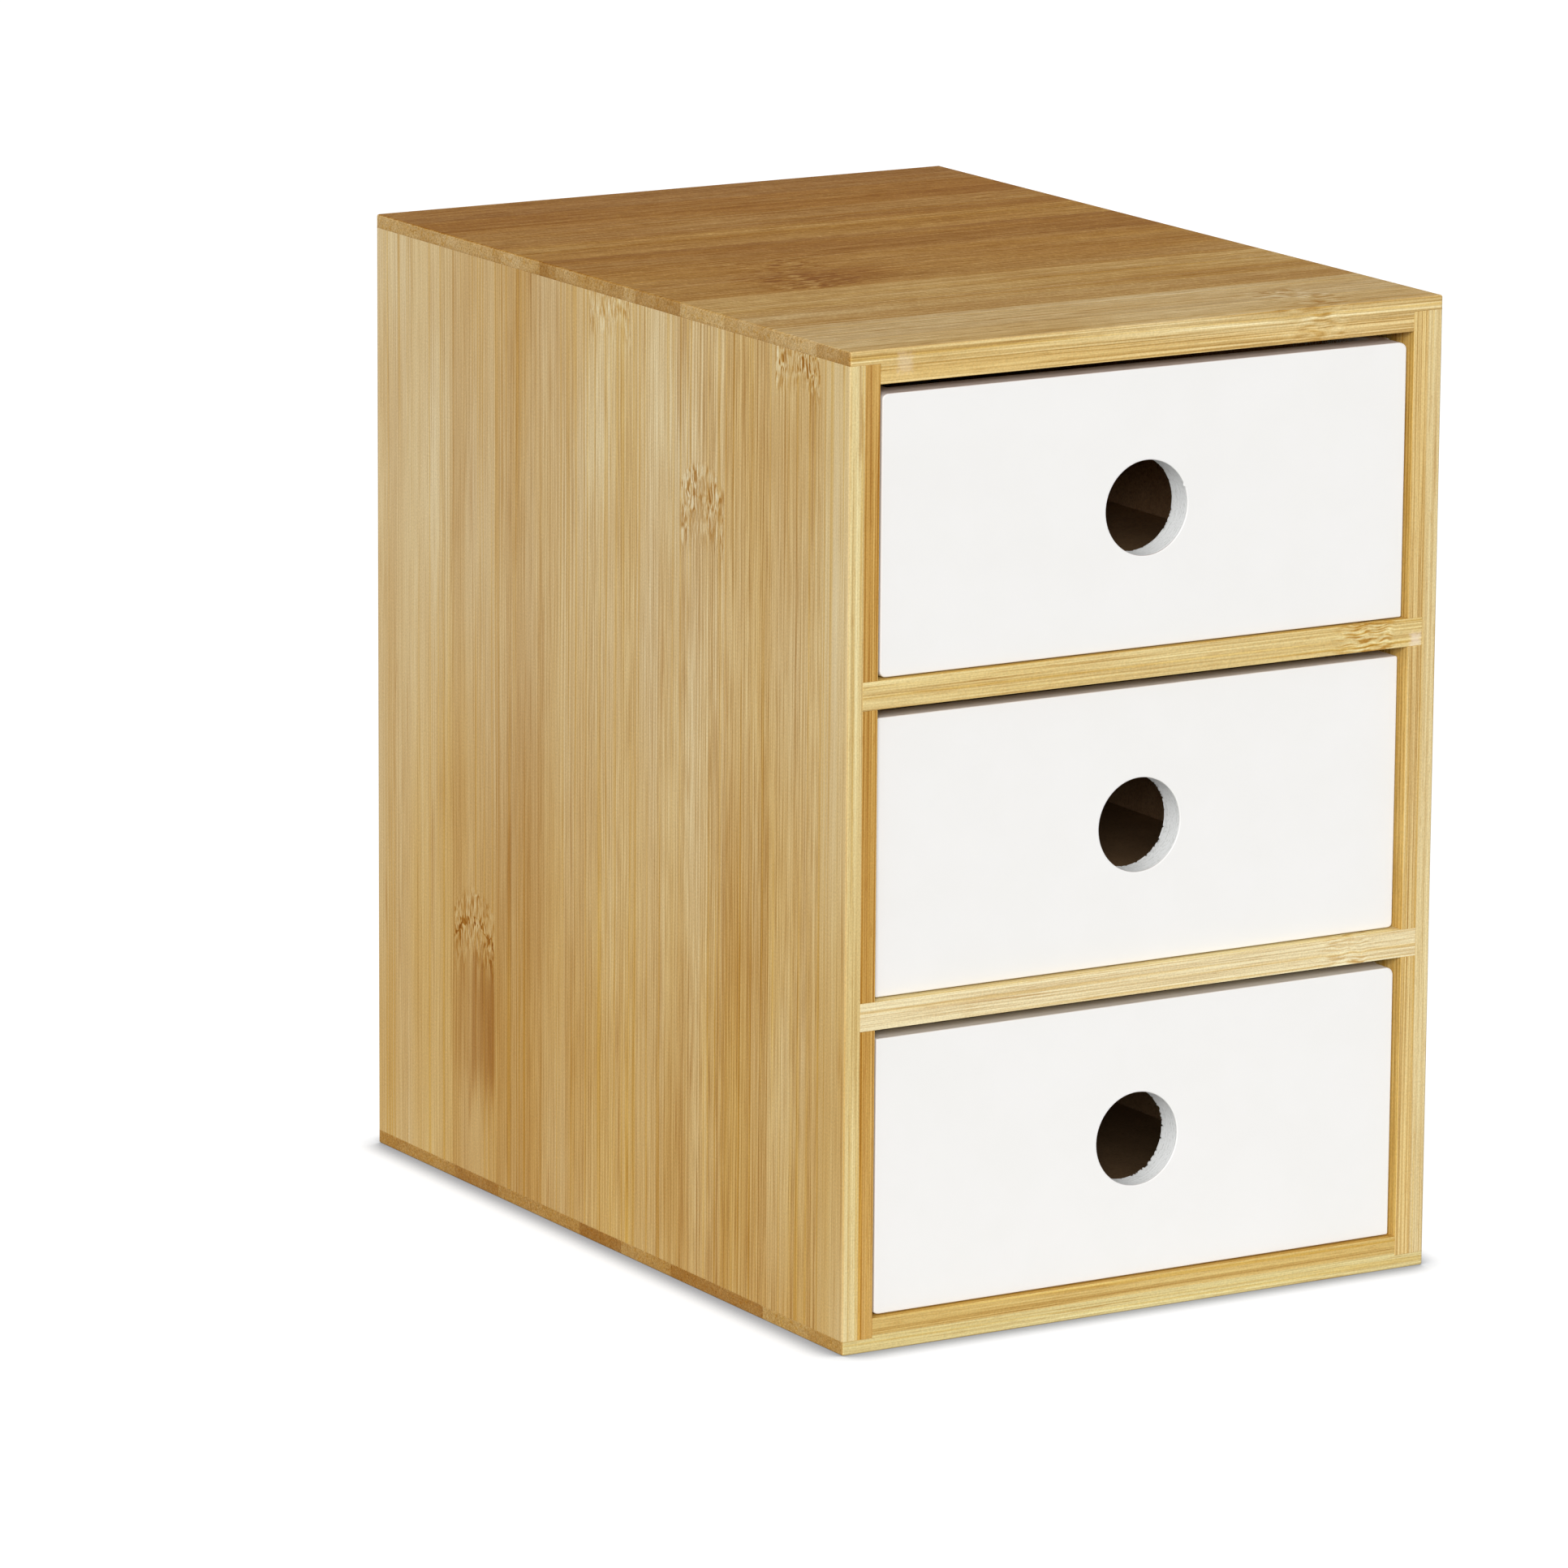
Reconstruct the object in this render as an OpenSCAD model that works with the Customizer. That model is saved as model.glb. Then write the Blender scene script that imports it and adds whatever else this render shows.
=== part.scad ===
// Desktop mini drawers: a bamboo cabinet with three bays, and in each bay a painted
// drawer that slides on the board below it and is pulled out by a round finger hole.
//
// Millimetres. The origin is the middle of the footprint, on the surface the cabinet
// stands on: +X is to the right, -Y to the front and +Z up.
//
// The boards of the cabinet are glued to each other in three kinds of joint:
//   - the top and bottom boards are rebated at both ends, so that a thin lip laps over
//     the end of each side board and the rest of the board fits between the sides;
//   - the shelves are let into housings across the inner faces of the sides;
//   - the back panel is as tall as the sides. It lies in a rebate along the back edge of
//     each side and against the lips of the top and bottom boards.
// A drawer's floor is held in grooves in its front, sides and back.

/* [Cabinet] */
// Width over the side boards
cabinet_w = 145; // [110:1:220]
// Depth from the front edges to the back edges
cabinet_d = 200; // [140:1:280]
// Height from the underside to the top
cabinet_h = 210; // [170:1:320]
// Thickness of the top, bottom and side boards
board_t = 7.2; // [6:0.1:12]
// Thickness of the two shelves
shelf_t = 6; // [4:0.1:9]
// Thickness of the back panel
back_t = 3; // [2:0.1:6]
// Rounding that sanding leaves on the cabinet's outer edges
arris_r = 0.5; // [0.2:0.1:1.5]

/* [Cabinet joints] */
// Thickness of the lip of the top and bottom boards over the ends of the sides
corner_lip = 3; // [2:0.1:5]
// Depth of the housings in the sides that hold the ends of the shelves
housing_depth = 3.6; // [2:0.1:4.5]
// Width of the rebate in the side boards that takes the edge of the back panel
back_rebate = 3.6; // [2:0.1:4.5]

/* [Drawers] */
// Thickness of a drawer's front
front_t = 6; // [4:0.1:9]
// Thickness of a drawer's sides and back
wall_t = 5; // [4:0.1:8]
// Thickness of a drawer's floor
floor_t = 3; // [2:0.1:5]
// Height of the floor's underside above the lower edge of the drawer
floor_rise = 4.5; // [2:0.1:10]
// Depth of the grooves that hold the floor
floor_groove = 2.5; // [1:0.1:3]
// Rounding of the four long edges of a drawer
drawer_corner_r = 1.2; // [0.4:0.1:6]
// Diameter of the finger hole in the middle of a drawer's front
finger_hole_d = 20; // [14:0.5:28]

/* [Clearances] */
// Gap between a drawer and the cabinet at each side
side_gap = 1.1; // [0.4:0.1:3]
// Gap between a drawer and the board above it
top_gap = 2.2; // [0.6:0.1:5]
// Running clearance between a drawer and the board that it slides on
slide_gap = 0.3; // [0.2:0.05:1]
// Clearance between the back panel and the drawer that is pushed in furthest
stop_gap = 0.6; // [0.3:0.1:4]
// How far the bottom drawer's front lies behind the front edges of the cabinet
bottom_recess = 1.2; // [0:0.1:4]
// How far the middle drawer's front lies behind them
middle_recess = 2; // [0:0.1:4]
// How far the top drawer's front lies behind them
top_recess = 1; // [0:0.1:4]

/* [Hidden] */
$fn = 64;

// The drawers from the bottom up, and the pieces that each is made of
LEVELS = ["bottom", "middle", "top"];
RECESSES = [bottom_recess, middle_recess, top_recess];
DRAWER_PIECES = ["front", "left_side", "right_side", "back", "floor"];
CABINET_PIECES = [
    "top_board", "bottom_board", "left_side_board", "right_side_board",
    "upper_shelf", "lower_shelf", "back_panel"
];
function drawer_node(level, piece) = str(LEVELS[level], "_drawer_", piece);

BAMBOO = [0.83, 0.69, 0.46];
BAMBOO_PALE = [0.88, 0.77, 0.54];
PLYWOOD = [0.79, 0.65, 0.44];
WHITE_PAINT = [0.95, 0.95, 0.94];
FIBREBOARD = [0.57, 0.44, 0.31];

// How far a cutting shape runs past the surface that it cuts
overrun = 1;

front_y = -cabinet_d / 2;
back_y = cabinet_d / 2;

// The room between the sides, and the height of one bay
inner_w = cabinet_w - 2 * board_t;
bay_h = (cabinet_h - 2 * board_t - (len(LEVELS) - 1) * shelf_t) / len(LEVELS);

// The top face of the board that the drawer of a level slides on
function bay_z(level) = board_t + level * (bay_h + shelf_t);

drawer_w = inner_w - 2 * side_gap;
drawer_h = bay_h - top_gap - slide_gap;
drawer_d = cabinet_d - back_t - stop_gap - max(RECESSES);
drawer_inner_w = drawer_w - 2 * wall_t;

// ---------------------------------------------------------------- shared shapes

// Stretches an outline drawn in the front view (x across, y up) from y0 back to y1
module along_depth(y0, y1) {
    translate([0, y1, 0]) rotate([90, 0, 0]) linear_extrude(y1 - y0) children();
}

// A rectangle with round corners, centred on x and standing on the x axis
module rounded_rect(w, h, r) {
    translate([-w / 2, 0]) {
        translate([r, 0]) square([w - 2 * r, h]);
        translate([0, r]) square([w, h - 2 * r]);
        for (x = [r, w - r], y = [r, h - r]) translate([x, y]) circle(r);
    }
}

// A rectangle centred on x, with its lower edge at z
module bar(w, h, z) {
    translate([-w / 2, z]) square([w, h]);
}

// Keeps what lies inside the sanded block that the cabinet is, outer edges rounded
module sanded() {
    intersection() {
        children();
        along_depth(front_y, back_y) rounded_rect(cabinet_w, cabinet_h, arris_r);
        translate([0, front_y, 0])
            linear_extrude(cabinet_h) rounded_rect(cabinet_w, cabinet_d, arris_r);
        translate([-cabinet_w / 2, 0, 0]) rotate([90, 0, 90])
            linear_extrude(cabinet_w) rounded_rect(cabinet_d, cabinet_h, arris_r);
    }
}

// The back panel's own shape, which is also what its rebates take out of the boards
module back_plate(extra = 0) {
    along_depth(back_y - back_t, back_y + extra)
        bar(inner_w + 2 * back_rebate, cabinet_h - 2 * corner_lip, corner_lip);
}

// The shape of the shelf under the drawer of a level, from the front edges to the back
// panel, which is also what its housings take out of the sides
module shelf_plate(level, extra = 0) {
    along_depth(front_y - extra, back_y - back_t)
        bar(inner_w + 2 * housing_depth, shelf_t, bay_z(level) - shelf_t);
}

// ---------------------------------------------------------------- cabinet

// The bottom board in the front view: lips below, and the full thickness in between
module bottom_board_outline() {
    bar(cabinet_w, corner_lip, 0);
    bar(inner_w, board_t, 0);
}

module bottom_board() {
    color(BAMBOO) sanded() difference() {
        along_depth(front_y, back_y) bottom_board_outline();
        back_plate(overrun);
    }
}

// The same board as the bottom one, turned over
module top_board() {
    color(BAMBOO) sanded() difference() {
        along_depth(front_y, back_y)
            translate([0, cabinet_h]) mirror([0, 1]) bottom_board_outline();
        back_plate(overrun);
    }
}

module right_side_board() {
    color(BAMBOO_PALE) sanded() difference() {
        along_depth(front_y, back_y)
            translate([inner_w / 2, corner_lip])
                square([board_t, cabinet_h - 2 * corner_lip]);
        for (level = [1 : len(LEVELS) - 1]) shelf_plate(level, overrun);
        back_plate(overrun);
    }
}

module left_side_board() {
    mirror([1, 0, 0]) right_side_board();
}

module shelf(level) {
    color(BAMBOO) shelf_plate(level);
}

module back_panel() {
    color(PLYWOOD) back_plate();
}

// ---------------------------------------------------------------- drawers

// A drawer is drawn with its front face on y = 0 and its lower edge on z = 0.
// This puts it in its bay, closed.
module in_bay(level) {
    translate([0, front_y + RECESSES[level], bay_z(level) + slide_gap]) children();
}

// The floor's own shape, which is also what its grooves take out of the other pieces
module floor_plate() {
    along_depth(front_t - floor_groove, drawer_d - wall_t + floor_groove)
        bar(drawer_inner_w + 2 * floor_groove, floor_t, floor_rise);
}

// A drawer in the front view, which its front and both sides are sanded to
module drawer_outline() {
    rounded_rect(drawer_w, drawer_h, drawer_corner_r);
}

module drawer_front() {
    color(WHITE_PAINT) difference() {
        along_depth(0, front_t) difference() {
            drawer_outline();
            translate([0, drawer_h / 2]) circle(d = finger_hole_d);
        }
        floor_plate();
    }
}

// The right side, glued behind the front and level with its end and top edge
module drawer_right_side() {
    color(WHITE_PAINT) difference() {
        along_depth(front_t, drawer_d) intersection() {
            drawer_outline();
            translate([drawer_inner_w / 2, 0]) square([wall_t, drawer_h]);
        }
        floor_plate();
    }
}

module drawer_left_side() {
    mirror([1, 0, 0]) drawer_right_side();
}

// The back, glued between the sides
module drawer_back() {
    color(WHITE_PAINT) difference() {
        along_depth(drawer_d - wall_t, drawer_d) bar(drawer_inner_w, drawer_h, 0);
        floor_plate();
    }
}

module drawer_floor() {
    color(FIBREBOARD) floor_plate();
}

module drawer_piece(piece) {
    if (piece == "front") drawer_front();
    if (piece == "left_side") drawer_left_side();
    if (piece == "right_side") drawer_right_side();
    if (piece == "back") drawer_back();
    if (piece == "floor") drawer_floor();
}

// ---------------------------------------------------------------- nodes

top_board();
bottom_board();
left_side_board();
right_side_board();
shelf(2);  // upper_shelf
shelf(1);  // lower_shelf
back_panel();

for (level = [0 : len(LEVELS) - 1], piece = DRAWER_PIECES)
    in_bay(level) drawer_piece(piece);
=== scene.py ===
"""Desktop mini drawers: a bamboo cabinet with three bays and a painted drawer in each.

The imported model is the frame. Each board and each piece of a drawer is built again where
its node is, with eased edges, laminated bamboo or paint, and rides on its node's body.
Lengths are metres, or millimetres where a name ends in _mm. +Z is up and -Y is the front.
"""
import logging
import math
from collections.abc import Callable, Iterable, Iterator, Sequence
from dataclasses import dataclass, field, replace
from enum import Enum, IntEnum
from itertools import accumulate, chain, product

import bmesh
import bpy
from mathutils import Matrix, Vector


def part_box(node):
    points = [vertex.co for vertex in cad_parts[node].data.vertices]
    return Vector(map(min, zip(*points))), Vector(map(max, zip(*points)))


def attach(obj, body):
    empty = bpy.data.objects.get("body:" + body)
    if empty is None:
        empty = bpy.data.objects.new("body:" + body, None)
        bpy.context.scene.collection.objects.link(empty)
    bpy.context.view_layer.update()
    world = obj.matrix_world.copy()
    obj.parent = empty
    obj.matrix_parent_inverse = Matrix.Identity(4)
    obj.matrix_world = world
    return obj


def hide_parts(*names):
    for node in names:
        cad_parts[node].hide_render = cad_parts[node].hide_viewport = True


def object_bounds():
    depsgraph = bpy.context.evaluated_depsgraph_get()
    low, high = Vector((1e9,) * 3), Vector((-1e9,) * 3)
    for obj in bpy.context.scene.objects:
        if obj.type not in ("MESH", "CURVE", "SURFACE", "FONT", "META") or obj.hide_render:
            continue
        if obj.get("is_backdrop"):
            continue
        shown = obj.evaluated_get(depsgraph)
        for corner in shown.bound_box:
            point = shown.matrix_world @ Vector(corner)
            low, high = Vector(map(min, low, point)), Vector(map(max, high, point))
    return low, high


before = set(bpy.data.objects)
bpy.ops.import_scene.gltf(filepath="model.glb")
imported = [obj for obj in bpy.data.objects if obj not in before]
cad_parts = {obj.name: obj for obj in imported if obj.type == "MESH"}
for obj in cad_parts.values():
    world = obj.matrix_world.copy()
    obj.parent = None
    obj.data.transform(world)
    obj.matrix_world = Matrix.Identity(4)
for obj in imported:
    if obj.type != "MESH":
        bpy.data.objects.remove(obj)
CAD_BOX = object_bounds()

LOG = logging.getLogger("mini_drawers")
MM = 0.001
PER_METRE = 1000.0
# Two places nearer than this are level with each other.
LEVEL = 0.01 * MM

Rgba = tuple[float, float, float, float]
Settings = dict[str, object]
Sockets = dict[int | str, object]
Stops = Sequence[tuple[float, Rgba]]


class Axis(Enum):
    """A direction of the shared frame, valued by its place in a vector."""

    X = 0
    Y = 1
    Z = 2


class Slot(Enum):
    """The material slots of the record, one for each kind of finish that the pieces have."""

    BAMBOO = "bamboo"
    BAMBOO_PLY = "bamboo_ply"
    PAINT = "white_paint"
    FIBREBOARD = "fibreboard"


# ---------------------------------------------------------------- colours and shader maths


@dataclass(frozen=True)
class Colour:
    """A colour as a screen shows it, each channel from 0 to 255."""

    red: float
    green: float
    blue: float

    def linear(self) -> Rgba:
        """Undo the screen's curve.

        Returns:
            The linear red, green, blue and alpha that nodes take.
        """
        knee = 0.04045
        shares = (self.red / 255, self.green / 255, self.blue / 255)
        light = [s / 12.92 if s <= knee else ((s + 0.055) / 1.055) ** 2.4 for s in shares]
        return light[0], light[1], light[2], 1.0

    def darker(self, red: float, green: float, blue: float) -> "Colour":
        """Give the colour with so much taken off each channel."""
        return Colour(self.red - red, self.green - green, self.blue - blue)


class Value:
    """An output socket of a shader node. Arithmetic on it adds Math nodes."""

    def __init__(self, tree: "ShaderTree", socket: bpy.types.NodeSocket) -> None:
        """Keep the tree that the socket belongs to, and the socket."""
        self.tree = tree
        self.socket = socket

    def math(self, operation: str, *operands: "Value | float") -> "Value":
        """Add a Math node with that operation and what goes into its sockets, in order."""
        sockets = dict(enumerate(operands))
        return self.tree.value("ShaderNodeMath", {"operation": operation}, sockets)

    def __add__(self, other: "Value | float") -> "Value":
        """Add a value."""
        return self.math("ADD", self, other)

    def __radd__(self, other: "Value | float") -> "Value":
        """Add this to a number."""
        return self.math("ADD", other, self)

    def __sub__(self, other: "Value | float") -> "Value":
        """Take a value away."""
        return self.math("SUBTRACT", self, other)

    def __rsub__(self, other: "Value | float") -> "Value":
        """Take this away from a number."""
        return self.math("SUBTRACT", other, self)

    def __mul__(self, other: "Value | float") -> "Value":
        """Multiply by a value."""
        return self.math("MULTIPLY", self, other)

    def __rmul__(self, other: "Value | float") -> "Value":
        """Multiply a number by this."""
        return self.math("MULTIPLY", other, self)

    def __truediv__(self, other: "Value | float") -> "Value":
        """Divide by a value."""
        return self.math("DIVIDE", self, other)

    def __abs__(self) -> "Value":
        """Take the size of the value, without its sign."""
        return self.math("ABSOLUTE", self)

    def larger(self, other: "Value | float") -> "Value":
        """Take the larger of this and another value."""
        return self.math("MAXIMUM", self, other)

    def toward(self, other: "Value", share: "Value | float") -> "Value":
        """Go a share of the way to another value."""
        return self + (other - self) * share

    def step(self, low: float, high: float) -> "Value":
        """Rise smoothly from 0 at low to 1 at high, or fall where low is the larger.

        Args:
            low: Where the result is 0.
            high: Where the result is 1.

        Returns:
            The smooth step.
        """
        falls = low > high
        ends = (high, low) if falls else (low, high)
        out = (1.0, 0.0) if falls else (0.0, 1.0)
        return self.tree.value(
            "ShaderNodeMapRange",
            {"interpolation_type": "SMOOTHSTEP"},
            {"Value": self, "From Min": ends[0], "From Max": ends[1],
             "To Min": out[0], "To Max": out[1]},
        )

    def band(self, middle: float, width: float, edge: float) -> "Value":
        """Be 1 in a band of that width round the middle and 0 outside, over soft edges."""
        low, high = middle - width / 2, middle + width / 2
        return self.step(low - edge / 2, low + edge / 2) * self.step(high + edge / 2, high - edge / 2)


class ShaderTree:
    """The node tree of one material or world, and the calls that grow it."""

    def __init__(self, owner: "bpy.types.Material | bpy.types.World") -> None:
        """Start an empty tree with only an output node.

        Args:
            owner: The material or the world that it belongs to.
        """
        owner.use_nodes = True
        self.owner = owner
        self.tree = owner.node_tree
        self.tree.nodes.clear()
        is_world = isinstance(owner, bpy.types.World)
        self.output = self.node("ShaderNodeOutputWorld" if is_world else "ShaderNodeOutputMaterial")

    @classmethod
    def material(cls, name: str) -> "ShaderTree":
        """Start the tree of a new material with that name."""
        return cls(bpy.data.materials.new(name))

    def node(
        self, kind: str, settings: "Settings | None" = None, sockets: "Sockets | None" = None
    ) -> bpy.types.Node:
        """Add a node.

        Args:
            kind: The node's type.
            settings: Its properties, set first.
            sockets: What goes into its sockets: a Value is linked, anything else is set.

        Returns:
            The new node.
        """
        node = self.tree.nodes.new(kind)
        for name, setting in (settings or {}).items():
            setattr(node, name, setting)
        for key, given in (sockets or {}).items():
            if isinstance(given, Value):
                self.tree.links.new(given.socket, node.inputs[key])
            else:
                node.inputs[key].default_value = given
        return node

    def value(
        self,
        kind: str,
        settings: "Settings | None" = None,
        sockets: "Sockets | None" = None,
        output: "int | str" = 0,
    ) -> Value:
        """Add a node as above, and give one of its outputs."""
        return Value(self, self.node(kind, settings, sockets).outputs[output])

    def point_mm(self) -> Value:
        """Give the point in the piece's own space, in millimetres."""
        point = self.value("ShaderNodeTexCoord", output="Object")
        return self.scaled(point, PER_METRE)

    def normal(self) -> tuple[Value, Value, Value]:
        """Give the components of the face's direction in the piece's own space."""
        return self.split(self.value("ShaderNodeTexCoord", output="Normal"))

    def split(self, vector: Value) -> tuple[Value, Value, Value]:
        """Give the three components of a vector."""
        outputs = self.node("ShaderNodeSeparateXYZ", sockets={0: vector}).outputs
        return Value(self, outputs[0]), Value(self, outputs[1]), Value(self, outputs[2])

    def join(self, x: "Value | float", y: "Value | float", z: "Value | float") -> Value:
        """Make a vector of three components."""
        return self.value("ShaderNodeCombineXYZ", sockets={0: x, 1: y, 2: z})

    def scaled(self, vector: Value, factor: "Value | float") -> Value:
        """Multiply a vector or a colour by a factor."""
        sockets = {0: vector, "Scale": factor}
        return self.value("ShaderNodeVectorMath", {"operation": "SCALE"}, sockets)

    def noise(
        self, point: Value, size_mm: Sequence[float], detail: float = 0.0, seed: float = 0.0
    ) -> Value:
        """Add smooth noise around 0, most of it within 0.3 of it.

        Args:
            point: Where it is read, in millimetres.
            size_mm: How long one of its spots is along each axis.
            detail: How many finer octaves are added.
            seed: Moves the noise, so that two layers differ.

        Returns:
            The noise.
        """
        strides, falloff = (3.17, 5.71, 7.93), 0.6
        scale = tuple(1.0 / size for size in size_mm)
        shift = tuple(seed * stride for stride in strides)
        where = self.value(
            "ShaderNodeVectorMath", {"operation": "MULTIPLY_ADD"}, {0: point, 1: scale, 2: shift}
        )
        sockets = {"Vector": where, "Scale": 1.0, "Detail": detail, "Roughness": falloff}
        return self.value("ShaderNodeTexNoise", sockets=sockets) - 0.5

    def ramp(self, factor: Value, stops: Stops, kind: str = "LINEAR") -> Value:
        """Look a factor up in a ramp.

        Args:
            factor: The factor.
            stops: The position and the linear colour of each stop.
            kind: How the ramp goes from stop to stop.

        Returns:
            The colour.
        """
        node = self.node("ShaderNodeValToRGB", sockets={0: factor})
        node.color_ramp.interpolation = kind
        elements = node.color_ramp.elements
        while len(elements) < len(stops):
            elements.new(1.0)
        for element, (position, colour) in zip(elements, stops):
            element.position = position
            element.color = colour
        return Value(self, node.outputs[0])

    def mix(
        self, factor: "Value | float", first: "Value | Rgba", second: "Value | Rgba",
        blend: str = "MIX",
    ) -> Value:
        """Mix two colours.

        Args:
            factor: The share of the second.
            first: One colour.
            second: The other colour.
            blend: How they are mixed, such as "MULTIPLY".

        Returns:
            The mixed colour.
        """
        share_in, first_in, second_in, colour_out = 0, 6, 7, 2
        settings = {"data_type": "RGBA", "blend_type": blend}
        sockets = {share_in: factor, first_in: first, second_in: second}
        return self.value("ShaderNodeMix", settings, sockets, colour_out)

    def finish(
        self, colour: Value, roughness: Value, gloss: float, height: Value, relief: "Relief"
    ) -> bpy.types.Material:
        """Finish the material with one Principled shader.

        Args:
            colour: The base colour.
            roughness: How rough it is.
            gloss: The level of its shine.
            height: The shape of its surface, around 0.
            relief: How much of that shape shows.

        Returns:
            The material.
        """
        bump = {"Strength": relief.strength, "Distance": relief.depth_mm * MM, "Height": height}
        self.surface(self.value("ShaderNodeBsdfPrincipled", sockets={
            "Base Color": colour, "Roughness": roughness, "Specular IOR Level": gloss,
            "Normal": self.value("ShaderNodeBump", sockets=bump),
        }))
        return self.owner

    def surface(self, shader: Value) -> None:
        """Send a shader to the output."""
        self.tree.links.new(shader.socket, self.output.inputs["Surface"])


# ---------------------------------------------------------------- finishes


@dataclass(frozen=True)
class Relief:
    """How much of a surface's shape shows: the strength and the depth of its bumps."""

    strength: float
    depth_mm: float


@dataclass(frozen=True)
class Strip:
    """One bamboo strip of a ply.

    Attributes:
        width_mm: Its width.
        tone: How pale it is, from 0 for dark to 1.
        fibre: How strongly its fine fibres show.
        gold: How much more golden than its ply it is.
    """

    width_mm: float
    tone: float
    fibre: float = 1.0
    gold: float = 0.0


@dataclass(frozen=True)
class Ply:
    """A layer of a board.

    Attributes:
        strips: Its strips from the back edge forward.
        warmth: How golden it is.
        edge_warmth: How much more golden its narrow edge is.
        edge_green: How much greener its narrow edge is.
    """

    strips: tuple[Strip, ...]
    warmth: float
    edge_warmth: float = -0.3
    edge_green: float = 1.0


@dataclass(frozen=True)
class Knuckle:
    """The band of dashes and pores that a joint of the culm leaves across one strip."""

    across_mm: float
    along_mm: float
    width_mm: float = 18.6
    height_mm: float = 13.0
    strength: float = 1.0
    pores: float = 0.1


@dataclass(frozen=True)
class Shade:
    """A long soft patch of a strip that is darker, paler or more golden than the rest."""

    across_mm: float
    along_mm: float
    width_mm: float
    length_mm: float
    tone: float
    streaks: float = 0.0
    gold: float = 0.0


@dataclass(frozen=True)
class Line:
    """A fibre layer that shows as a line along the edge of a board."""

    depth_mm: float
    width_mm: float
    tone: float


@dataclass(frozen=True)
class Filler:
    """A spot of pale filler, its centre and size given across, through and along the board."""

    centre_mm: tuple[float, float, float]
    size_mm: tuple[float, float, float]
    strength: float = 0.6
    colour: Colour = Colour(240, 224, 205)


@dataclass(frozen=True)
class Layer:
    """One layer of the noise that a board's grain is made of.

    Attributes:
        seed: Keeps it apart from the board's other layers.
        across_mm: How wide its spots are.
        along_mm: How long they are.
        strength: What it is multiplied by.
        detail: How many finer octaves it has.
    """

    seed: float
    across_mm: float
    along_mm: float
    strength: float = 1.0
    detail: float = 0.0


SWAY = Layer(0.0, 7.0, 60.0, 0.9)
CURL = Layer(1.0, 2.6, 4.0, 1.5, 1.0)
LIFT = Layer(2.0, 5.0, 4.0, 2.0)
OPACITY = Layer(3.0, 7.0, 80.0, 1.0, 1.0)
DARK_LINE = Layer(4.0, 1.7, 160.0)
DARK_LINE_GATE = Layer(5.0, 3.0, 40.0)
DASH = Layer(6.0, 0.42, 4.0)
PORE = Layer(7.0, 0.9, 1.3)
GOLD_STREAK = Layer(8.0, 1.5, 90.0, 0.20, 1.0)
END_GRAIN = Layer(9.0, 0.34, 30.0, 0.62, 2.0)
RIB_JITTER = Layer(11.0, 2.6, 300.0, 4.5)
RIB_GATE = Layer(12.0, 2.4, 60.0)
DUST = Layer(13.0, 0.3, 0.45)
PATCH_EDGE = Layer(14.0, 1.8, 30.0, 1.2, 1.0)
GOLD_PATCH = Layer(15.0, 8.0, 70.0, 0.34)
FILLER_EDGE = Layer(16.0, 0.9, 0.9, 1.1, 2.0)
KNUCKLE_GATE = Layer(17.0, 4.0, 6.0)
EMBER = Layer(18.0, 0.8, 160.0)
FLECK = Layer(19.0, 0.3, 5.0)
SPECK = Layer(24.5, 0.9, 0.5)
FINE_GRAIN = (
    Layer(10.0, 0.28, 14.0, 0.50, 1.0), Layer(11.0, 0.33, 400.0, 0.52, 1.0),
    Layer(12.0, 0.62, 150.0, 0.12),
)
FUZZY_GRAIN = (
    Layer(13.5, 0.34, 5.0, 0.75, 1.0), Layer(14.5, 0.45, 300.0, 0.50, 1.0),
    Layer(15.5, 1.2, 16.0, 0.32, 1.0),
)
BROAD_GRAIN = (
    Layer(20.0, 2.3, 100.0, 0.06), Layer(21.0, 7.0, 90.0, 0.08), Layer(22.0, 16.0, 45.0, 0.12),
)
EDGE_GRAIN = (
    Layer(21.5, 0.28, 60.0, 0.62, 1.0), Layer(22.5, 0.36, 400.0, 0.85, 1.0),
    Layer(23.5, 0.8, 120.0, 0.32),
)


@dataclass(frozen=True)
class FibreTones:
    """How the colour of bamboo goes with its tone: dark fibre loses blue first.

    Attributes:
        even: The linear colour at the even tone.
        rates: How fast red, green and blue rise with the tone, as exponents.
        even_tone: The tone that has the even colour.
        golden: What the warmest bamboo is multiplied by.
    """

    even: tuple[float, float, float] = (0.69, 0.53, 0.275)
    rates: tuple[float, float, float] = (1.25, 2.06, 3.06)
    even_tone: float = 0.78
    golden: Rgba = (1.0, 0.82, 0.33, 1.0)

    def stops(self) -> Stops:
        """Lay out a ramp from tone 0 to tone 1.

        Returns:
            The stops, none of them paler than wood can be.
        """
        count, palest = 12, 0.93
        stops = []
        for tone in (step / (count - 1) for step in range(count)):
            rise = (math.exp(rate * (tone - self.even_tone)) for rate in self.rates)
            light = [min(base * factor, palest) for base, factor in zip(self.even, rise)]
            stops.append((tone, (*light, 1.0)))
        return stops


RUDDY_FIBRE = FibreTones(even=(0.69, 0.511, 0.275))
TOP_FIBRE = FibreTones(even=(0.69, 0.514, 0.275), rates=(1.25, 1.95, 3.06))


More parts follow.
